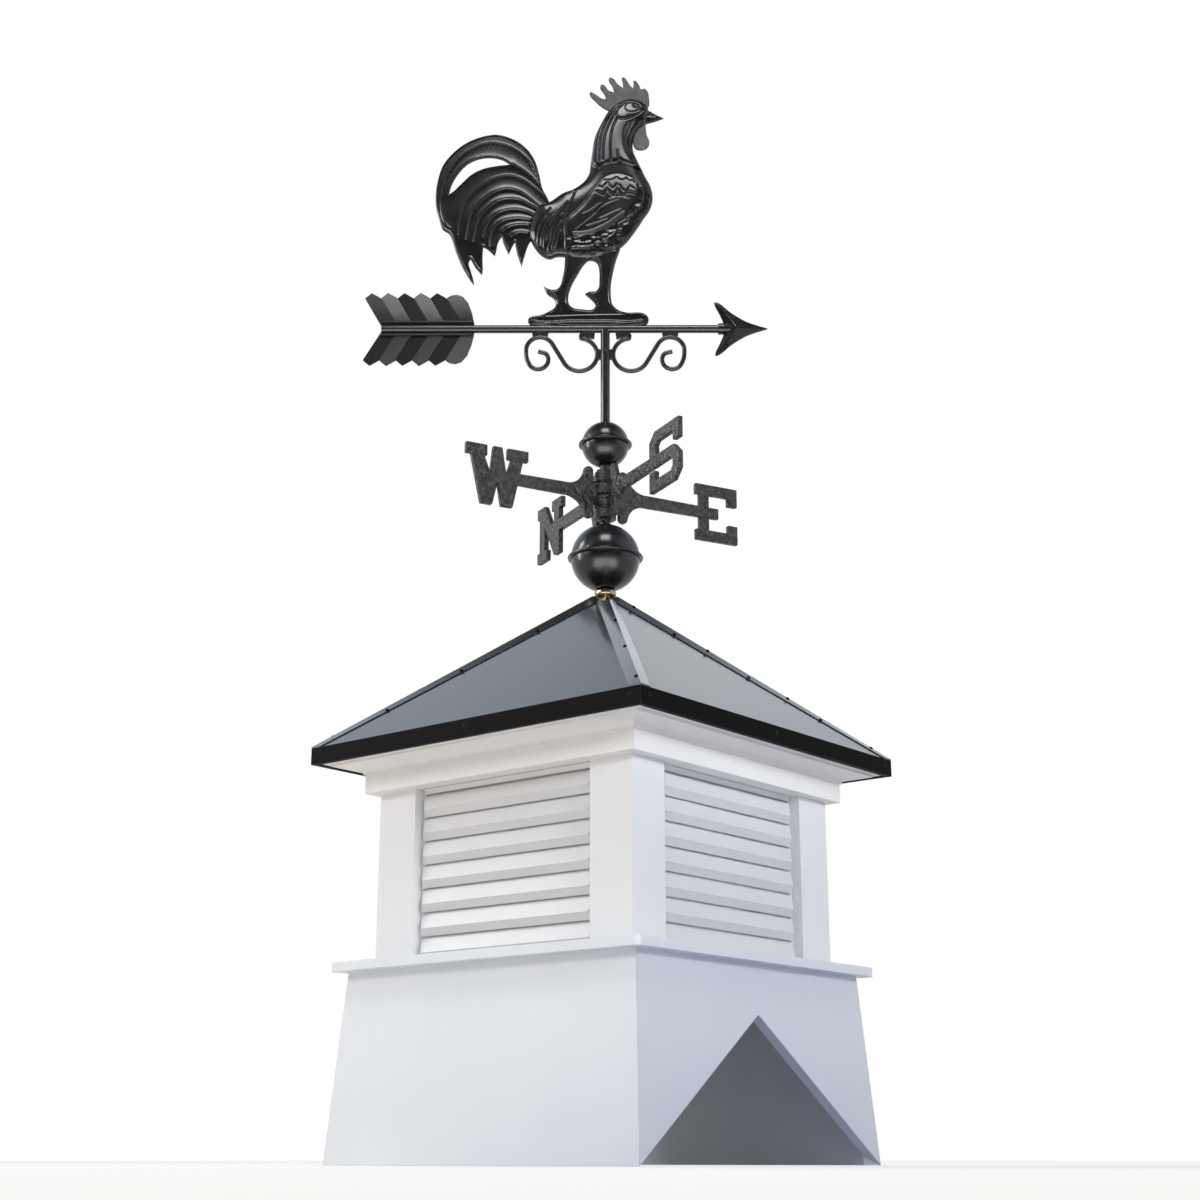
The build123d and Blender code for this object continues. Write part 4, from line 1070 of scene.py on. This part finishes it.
# %% Comb, wattle and beak
COMB_HALF, COMB_EDGE = 1.6, 1.5
BEAK_HALF, BEAK_EDGE, BEAK_WALL, BEAK_SWELL = 1.6, 7.0, 0.3, 1.9
MOUTH_RIDGE = (0.8, 0.6)
COMB = [
    (4, 294), (-4, 299), (-12, 307), (-19, 317.5), (-17.5, 320.5), (-10, 315.5), (-3, 310.5),
    (1.5, 310.5), (-1, 317), (-6, 326), (-5, 330.5), (-1.5, 330), (5, 322), (11.5, 319.5), (9, 328),
    (4.5, 337), (6, 340.5), (9.5, 339.5), (16, 331), (22.5, 325.5), (22, 333), (20.5, 339.5),
    (23, 341), (25.5, 339), (30, 331), (34.5, 325), (35.5, 331), (35, 335.5), (38, 336), (42, 330),
    (44.5, 323.5), (49, 325), (52.5, 321), (54.5, 312), (54, 300), (50, 294), (36, 296), (20, 294),
]
WATTLE = [
    (42, 277), (50, 274), (51, 261), (54.5, 249), (51, 241.5), (44, 239), (37, 241.5), (34.5, 247),
    (35, 256), (38, 268),
]
BEAK = [(44, 297), (52, 294.5), (61, 289), (72, 283), (61, 278.6), (51, 275.5), (46, 274)]
MOUTH = ([(44, 293), (57, 287), (71, 283)], [(44, 284), (53, 283), (62, 283)])


def thin_height(flat, gap):
    return plate_rise(gap, COMB_HALF, edge=COMB_EDGE)


def beak_height(flat, gap):
    rise = plate_rise(gap, BEAK_HALF, edge=BEAK_EDGE, wall=BEAK_WALL) * BEAK_SWELL
    return rise + drawn(flat, [(MOUTH, *MOUTH_RIDGE)]) * inland(gap, 0, 2)


for name, points, height, coat in (
    ("rooster_comb", COMB, thin_height, comb_black),
    ("rooster_wattle", WATTLE, thin_height, wattle_black),
    ("rooster_beak", BEAK, beak_height, vane_black),
):
    finished(cast_plate(name, points, height, coat), "vane", "vane_black")

# %% [markdown]
# ## The arrow
# The fletching is five leaning bands and a round front lobe, above and below the shaft.
# Every second band stands proud, like a pleat. The bands' colour is painted light and
# shade: the proud bands are paler and the others darker, as lit and shaded sides of the
# pleats, and each grows paler towards its outer end, most above the shaft, as painted
# light from above. A band is modelled by hand: a filled circle of five points gives the
# face, which is moved into shape, extruded and bevelled. The lower bands are mirrored
# copies, each with its own mesh, turned right side out again. Two rails and a channel
# hold the bands along the shaft.

# %% Helpers for hand modelling
BEVEL_SEGMENTS = 3


def board(name, corners, half, round_off, material):
    """A flat piece on the vane's plane, with rounded edges. Its measures are in millimetres."""
    deselect()
    bpy.ops.mesh.primitive_circle_add(vertices=len(corners), radius=0.05, fill_type="NGON")
    piece = bpy.context.active_object
    piece.name = piece.data.name = name
    for vertex, (x, z) in zip(piece.data.vertices, corners):
        vertex.co = (x * MM, half * MM, z * MM)
    bpy.ops.object.mode_set(mode="EDIT")
    bpy.ops.mesh.select_all(action="SELECT")
    bpy.ops.mesh.extrude_region_move(TRANSFORM_OT_translate={"value": (0, -2 * half * MM, 0)})
    bpy.ops.mesh.select_all(action="SELECT")
    bpy.ops.mesh.normals_make_consistent(inside=False)
    bpy.ops.object.mode_set(mode="OBJECT")
    soften(piece, round_off * MM)
    piece.data.materials.append(material)
    return piece


def soften(piece, width, angle=30):
    pick(piece)
    rounding = piece.modifiers.new("rounding", "BEVEL")
    rounding.width = width
    rounding.segments = BEVEL_SEGMENTS
    rounding.limit_method = "ANGLE"
    rounding.angle_limit = math.radians(angle)
    rounding.harden_normals = True
    bpy.ops.object.shade_smooth()
    bpy.ops.object.modifier_apply(modifier=rounding.name)
    return piece


def twin(piece, name, move):
    """A copy with its own mesh, moved in the mesh, turned right side out if mirrored."""
    other = added(name, piece.data.copy())
    other.data.transform(move)
    if move.determinant() < 0:
        other.data.flip_normals()
    return other


def joined(name, pieces):
    deselect()
    for piece in pieces:
        piece.select_set(True)
    bpy.context.view_layer.objects.active = pieces[0]
    bpy.ops.object.join()
    pieces[0].name = pieces[0].data.name = name
    pieces[0].select_set(False)
    return pieces[0]


print("rounded edges have", BEVEL_SEGMENTS, "segments")

# %% Coats of the fletching
BAND_REACH = 47.0
# Painted light and shade: pale tones for the proud bands, dark for the others, each paler towards the
# outer end and most above the shaft.
BAND_TONES = {
    "pale": ((0.0, 0.040), (0.38, 0.028), (0.50, 0.010), (0.60, 0.040), (0.76, 0.100), (1.0, 0.120)),
    "middle": ((0.0, 0.010), (0.40, 0.008), (0.50, 0.005), (0.62, 0.012), (0.80, 0.034), (1.0, 0.044)),
    "dark": ((0.0, 0.007), (0.40, 0.006), (0.50, 0.003), (0.60, 0.006), (0.80, 0.008), (1.0, 0.007)),
    "lobe": ((0.0, 0.055), (0.40, 0.045), (0.50, 0.010), (0.62, 0.012), (0.80, 0.060), (1.0, 0.100)),
}
BAND_CLOUD, BAND_CLOUD_SCALE = 0.12, 120.0
BAND_ROUGH, BAND_PATCHES, BAND_GLOSS = 0.34, 0.14, 0.28
BAND_GRAIN, BAND_DEPTH, BAND_YELLOW = 0.05, 0.0003, 0.99


def painted_light_band_coat(name, tones):
    """A satin coat with painted light: paler towards the outer ends of the bands, most above the shaft.
    """
    tree = Tree(name)
    place = tree.object_place()
    cloud = tree.noise(place, BAND_CLOUD_SCALE)
    reach = (tree.axis(place, "Z") - (SHAFT_HEIGHT - BAND_REACH * MM)) * (0.5 / (BAND_REACH * MM))
    reach = (reach + (cloud - 0.5) * BAND_CLOUD).clamp()
    greys = [(stop, (tone, tone, tone * BAND_YELLOW)) for stop, tone in tones]
    return tree.finish(
        Base_Color=tree.ramp(reach, *greys),
        Roughness=BAND_ROUGH + cloud * BAND_PATCHES,
        Specular_IOR_Level=BAND_GLOSS,
        Normal=tree.bump(tree.noise(place, GRAIN_SCALE, 2.0), BAND_GRAIN, BAND_DEPTH),
    )


painted_light_band_coats = {name: painted_light_band_coat(f"band_{name}", tones) for name, tones in BAND_TONES.items()}
print("coats of the bands:", sorted(painted_light_band_coats))

# %% Fletching
BAND_WIDTH, BAND_HALVES, BAND_ROUND = 19.5, (1.6, 2.4), 0.9
BAND_CORNERS = [(0, 3), (-21, 40), (-13, 47), (-1.5, 40), (19.5, 3)]
BAND_KINDS = ("middle", "pale", "dark", "pale", "dark")
LOBE_HALF, LOBE_ROUND = 2.2, 1.0
LOBE_CORNERS = [
    (-168.5, 3), (-189.5, 40), (-184, 43.6), (-177, 44.6), (-170, 42), (-163.5, 34), (-158.5, 20),
    (-155, 3),
]
FLETCH_REAR, FLETCH_FRONT = -266, -156
RAIL_LOW, RAIL_HIGH, RAIL_HALF, RAIL_ROUND = 7.4, 9.4, 4.4, 0.9
CHANNEL_HIGH, CHANNEL_HALF, CHANNEL_ROUND = 8, 2.8, 0.3
MIRROR_Z = Matrix.Scale(-1, 4, (0, 0, 1))


def strip(name, low, high, half, round_off):
    """A straight strip along the whole fletching, between two heights."""
    ends = [(FLETCH_REAR, low), (FLETCH_REAR, high), (FLETCH_FRONT, high), (FLETCH_FRONT, low)]
    return board(name, ends, half, round_off, vane_black)


upper = []
for i, kind in enumerate(BAND_KINDS):
    corners = [(x + FLETCH_REAR + i * BAND_WIDTH, z) for x, z in BAND_CORNERS]
    upper.append(board(f"band_{i}", corners, BAND_HALVES[i % 2], BAND_ROUND, painted_light_band_coats[kind]))
upper.append(board("lobe", LOBE_CORNERS, LOBE_HALF, LOBE_ROUND, painted_light_band_coats["lobe"]))
lower = [twin(piece, f"lower_{piece.name}", MIRROR_Z) for piece in upper]
rails = [strip("rail", side * RAIL_LOW, side * RAIL_HIGH, RAIL_HALF, RAIL_ROUND) for side in (1, -1)]
channel = strip("channel", -CHANNEL_HIGH, CHANNEL_HIGH, CHANNEL_HALF, CHANNEL_ROUND)
fletching = joined("fletching", upper + lower + rails + [channel])
fletching.data.transform(to_vane)
finished(fletching, "vane", "vane_black", "arrow_tail")

# %% [markdown]
# The head is a barbed plate, thickest along the middle of each barb. It is carved like
# the rooster: its height grows evenly from the edge inwards, which gives flat facets that
# meet in a crisp ridge. Its socket is a cone with a ring at its mouth.

# %% Arrow head
HEAD_EDGE, HEAD_CHISEL, HEAD_CORNER = 1.1, 0.42, 50
HEAD = [
    (193, 0), (168, 9), (150, 20.5), (133.5, 34), (130, 34.5), (131, 30), (136.5, 18), (140.5, 7),
    (140.5, -7), (136.5, -18), (131, -30), (130, -34.5), (133.5, -34), (150, -20.5), (168, -9),
]


def head_height(flat, gap):
    """Two flat facets meet in a ridge along the middle of each barb, as if chiselled."""
    return HEAD_EDGE + HEAD_CHISEL * gap


plate = cast_plate("head_plate", HEAD, head_height, vane_black, corner=HEAD_CORNER)
print("the plate's edge is", 2 * HEAD_EDGE, "mm thick")

# %% Socket of the head
SOCKET_RADIUS, SOCKET_RING, SOCKET_LIP, SOCKET_ROUND = 6.8, 7.5, 0.9, 0.7
CONE_LENGTH, CONE_TIP = 36, 0.3
SOCKET_PLACE = 137.75


def select_facing(piece, axis):
    """In edit mode, selects the faces that look along x, y or z: axis 0, 1 or 2."""
    bpy.ops.mesh.select_mode(type="FACE")
    bpy.ops.mesh.select_all(action="DESELECT")
    shape = bmesh.from_edit_mesh(piece.data)
    for face in shape.faces:
        face.select_set(face.normal[axis] > 0.9)
    bmesh.update_edit_mesh(piece.data)


deselect()
bpy.ops.mesh.primitive_cylinder_add(
    vertices=40, radius=SOCKET_RADIUS * MM, depth=SOCKET_RING * MM, rotation=(0, math.pi / 2, 0)
)
socket = bpy.context.active_object
bpy.ops.object.transform_apply(rotation=True)
bpy.ops.object.mode_set(mode="EDIT")
select_facing(socket, 0)
bpy.ops.mesh.inset(thickness=SOCKET_LIP * MM)
bpy.ops.mesh.extrude_region_move(TRANSFORM_OT_translate={"value": (CONE_LENGTH * MM, 0, 0)})
bpy.ops.transform.resize(value=(1, CONE_TIP, CONE_TIP))
bpy.ops.object.mode_set(mode="OBJECT")
socket.data.materials.append(vane_black)
socket.data.transform(Matrix.Translation((SOCKET_PLACE * MM, 0, 0)))
soften(socket, SOCKET_ROUND * MM)
socket.data.transform(to_vane)
arrow_head = joined("barbed_head", [plate, socket])
finished(arrow_head, "vane", "vane_black", "arrow_head")

# %% [markdown]
# ## The scrolls
# The two scrolls are bent from round bar. A curve that runs through arcs and straight
# runs, given a round thickness, is the same thing on the screen. It is turned into a
# mesh, its cut ends are rounded, and the pads that weld it to the shaft and the sleeve
# are small boards. The second scroll is the first one turned about the spindle.

# %% Scrolls
BAR = 2.7
BENDS = ((21.0, -230), (0, 28.5), (16.5, 150), (0, 3.5), (30.0, 30), (12.0, 180), (6.0, 45), (0, 7.0))
ROUND_MIDDLE, ROUND_RADIUS = (-30.5, -33.0), BENDS[0][0]
START_PLACE, START_HEADING = math.radians(80), -10
ARC_STEP, RUN_PARTS = 6.0, 6
END_ROUND, END_ANGLE = 0.9, 60


def bent_bar(start, angle, bends):
    """Points along a bar: each bend is a radius and an angle, or 0 and a straight run."""
    x, y = start
    points = [(x, y)]
    for radius, amount in bends:
        parts = max(1, round(abs(amount) / ARC_STEP)) if radius else RUN_PARTS
        for _ in range(parts):
            if radius:
                half = amount / parts / 2
                angle += half
                run = 2 * radius * math.sin(math.radians(abs(half)))
            else:
                half, run = 0, amount / parts
            x += run * math.cos(math.radians(angle))
            y += run * math.sin(math.radians(angle))
            angle += half
            points.append((x, y))
    return points


bar_start = (
    ROUND_MIDDLE[0] + ROUND_RADIUS * math.cos(START_PLACE),
    ROUND_MIDDLE[1] + ROUND_RADIUS * math.sin(START_PLACE),
)
bar_points = bent_bar(bar_start, START_HEADING, BENDS)
curve = bpy.data.curves.new("scroll", "CURVE")
curve.dimensions = "3D"
curve.bevel_depth = BAR * MM
curve.bevel_resolution = 5
curve.use_fill_caps = True
spline = curve.splines.new("POLY")
spline.points.add(len(bar_points) - 1)
for point, (x, z) in zip(spline.points, bar_points):
    point.co = (x * MM, 0, z * MM, 1)
scroll = added("scroll", curve)
pick(scroll)
bpy.ops.object.convert(target="MESH")
soften(scroll, END_ROUND * MM, angle=END_ANGLE)
scroll.data.materials.append(rod_black)
print("points along one bar:", len(bar_points))

# %% Pads and the second scroll
ROUND_POINTS = 30
PAD_HALF, PAD_ROUND = 2.4, 0.7

# The crest is the highest place of the bar, past the points of its round end.
crest_x, crest_z = max(bar_points[ROUND_POINTS:], key=lambda point: point[1])
low_x = ROUND_MIDDLE[0] + ROUND_RADIUS
PADS = (
    [(crest_x - 9, crest_z), (crest_x - 10, -4), (crest_x + 10, -4), (crest_x + 9, crest_z)],
    [(low_x, -40), (low_x, -26), (-4, -27), (-4, -39)],
    [(-31.5, -9), (-30.5, -13.6), (-26, -15), (-20, -11.5), (-13, -13), (-12, -4), (-29, -4)],
)
pads = [board("pad", corners, PAD_HALF, PAD_ROUND, rod_black) for corners in PADS]
one_side = joined("scroll_side", [scroll, *pads])
other_side = twin(one_side, "scroll_other", Matrix.Rotation(math.pi, 4, "Z"))
both = joined("scroll_bars", [one_side, other_side])
both.data.transform(to_vane)
finished(both, "vane", "vane_black", "scrolls")

# %% [markdown]
# The sleeve that turns on the spindle is two pieces, and a thin raised ring shows where
# they meet. A torus is drawn out a little along the sleeve, and pinned in front and
# behind with a small round head.

# %% Sleeve ring
RING_HEIGHT = -29.5
RING_THICK, RING_STRETCH = 0.7, (1, 1, 1.7)
PIN_RADIUS, PIN_STRETCH = 1.1, (1, 0.7, 1)
PIN_OUT, PIN_UP = 0.3, 0.6
sleeve_low, sleeve_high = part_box("vane_sleeve")
SLEEVE_RADIUS = (sleeve_high.x - sleeve_low.x) / 2


def stretched(piece, factors):
    bpy.ops.object.mode_set(mode="EDIT")
    bpy.ops.mesh.select_all(action="SELECT")
    bpy.ops.transform.resize(value=factors)
    bpy.ops.object.mode_set(mode="OBJECT")
    bpy.ops.object.shade_smooth()
    piece.data.materials.append(rod_black)
    return piece


deselect()
bpy.ops.mesh.primitive_torus_add(
    major_segments=48, minor_segments=10, major_radius=SLEEVE_RADIUS, minor_radius=RING_THICK * MM
)
ring = stretched(bpy.context.active_object, RING_STRETCH)
ring.data.transform(Matrix.Translation((0, 0, RING_HEIGHT * MM)))
pins = []
for turn in (0, math.pi):
    deselect()
    bpy.ops.mesh.primitive_uv_sphere_add(segments=16, ring_count=10, radius=PIN_RADIUS * MM)
    pin = stretched(bpy.context.active_object, PIN_STRETCH)
    seat = Matrix.Translation((0, -SLEEVE_RADIUS - PIN_OUT * MM, (RING_HEIGHT + PIN_UP) * MM))
    pin.data.transform(Matrix.Rotation(turn, 4, "Z") @ seat)
    pins.append(pin)
sleeve_ring = joined("sleeve_ring", [ring, *pins])
sleeve_ring.data.transform(to_vane)
finished(sleeve_ring, "vane", "vane_black")

# %% [markdown]
# ## Letters and arms
# The four arms are right as they are built, but a casting has no sharp edges. Each arm
# gets a merged copy with its flat faces cleaned up and its edges rounded, so that the
# letters show the bright worn line along their edges.


# %% Rounded copies of castings
ARM_ROUND = 0.0009
SAME_PLANE = 1.0


def rounded_copy(node, name, width):
    piece = added(name, nodes[node].data.copy())
    pick(piece)
    bpy.ops.object.mode_set(mode="EDIT")
    bpy.ops.mesh.select_all(action="SELECT")
    bpy.ops.mesh.remove_doubles(threshold=WELD)
    bpy.ops.mesh.dissolve_limited(angle_limit=math.radians(SAME_PLANE))
    bpy.ops.object.mode_set(mode="OBJECT")
    if piece.data.has_custom_normals:
        bpy.ops.mesh.customdata_custom_splitnormals_clear()
    return soften(piece, width)


for place in ("east", "north", "west", "south"):
    arm = rounded_copy(f"arm_{place}", f"cast_arm_{place}", ARM_ROUND)
    finished(arm, "cupola", "cast_black", f"arm_{place}")

# %% [markdown]
# ## Screws on the roof
# Small pan-head screws hold the caps down: four along each ridge line and, on all caps
# but the nearest, three along each side. One is modelled, from a short cylinder whose top
# is inset, domed and hollowed for the driver. Its copies are laid on the caps, and the
# model itself is then removed.

# %% One screw
SCREW_RADIUS, SCREW_RISE = 2.1, 1.0
SCREW_SHOULDER, SCREW_DOME = 0.7, 0.45
HOLLOW_RIM, HOLLOW_WALL, HOLLOW_DEPTH = 0.5, 0.12, 0.4

deselect()
bpy.ops.mesh.primitive_cylinder_add(vertices=16, radius=SCREW_RADIUS * MM, depth=SCREW_RISE * MM)
screw = bpy.context.active_object
bpy.ops.object.mode_set(mode="EDIT")
select_facing(screw, 2)
bpy.ops.mesh.inset(thickness=SCREW_SHOULDER * MM)
bpy.ops.transform.translate(value=(0, 0, SCREW_DOME * MM))
bpy.ops.mesh.inset(thickness=HOLLOW_RIM * MM)
bpy.ops.mesh.inset(thickness=HOLLOW_WALL * MM)
bpy.ops.transform.translate(value=(0, 0, -HOLLOW_DEPTH * MM))
bpy.ops.object.mode_set(mode="OBJECT")
bpy.ops.object.shade_smooth_by_angle(angle=math.radians(CREASE))
screw.data.materials.append(drip_black)
print("a screw has", len(screw.data.polygons), "faces")

# %% Screws on the caps
RIDGE_STOPS, RIDGE_SIDE = (0.10, 0.36, 0.64, 0.93), 1.6
EDGE_STOPS, EDGE_SIDE = (0.24, 0.50, 0.75), 8.0
ABOVE_ROOF, DOWN = 1.0, Vector((0, 0, -1))


def surface_under(node):
    mesh = nodes[node].data
    return BVHTree.FromPolygons([v.co for v in mesh.vertices], [p.vertices for p in mesh.polygons])


def laid(piece, name, tree, start):
    """A copy of a piece, seated where a ray down from start meets the surface."""
    spot, normal, *_ = tree.ray_cast(start, DOWN)
    turn = normal.to_track_quat("Z", "Y").to_matrix().to_4x4()
    return twin(piece, name, Matrix.Translation(spot) @ turn)


caps = surface_under("hip_caps")
placed = []
for hip in range(4):
    angle = math.radians(45 + 90 * hip)
    along = Vector((math.cos(angle), math.sin(angle), 0))
    across = Vector((-along.y, along.x, 0))
    nearest_hip = along.x > 0 and along.y < 0
    stops = [(stop, -RIDGE_SIDE) for stop in RIDGE_STOPS]
    if not nearest_hip:
        stops += [(stop, side * EDGE_SIDE) for stop in EDGE_STOPS for side in (1, -1)]
    for stop, side in stops:
        start = along * (EAVES_HALF * math.sqrt(2) * stop) + across * (side * MM)
        start.z = ABOVE_ROOF
        placed.append(laid(screw, "cap_screw", caps, start))
bpy.data.objects.remove(screw)
cap_screws = joined("cap_screws", placed)
finished(cap_screws, "cupola", "roof_metal")
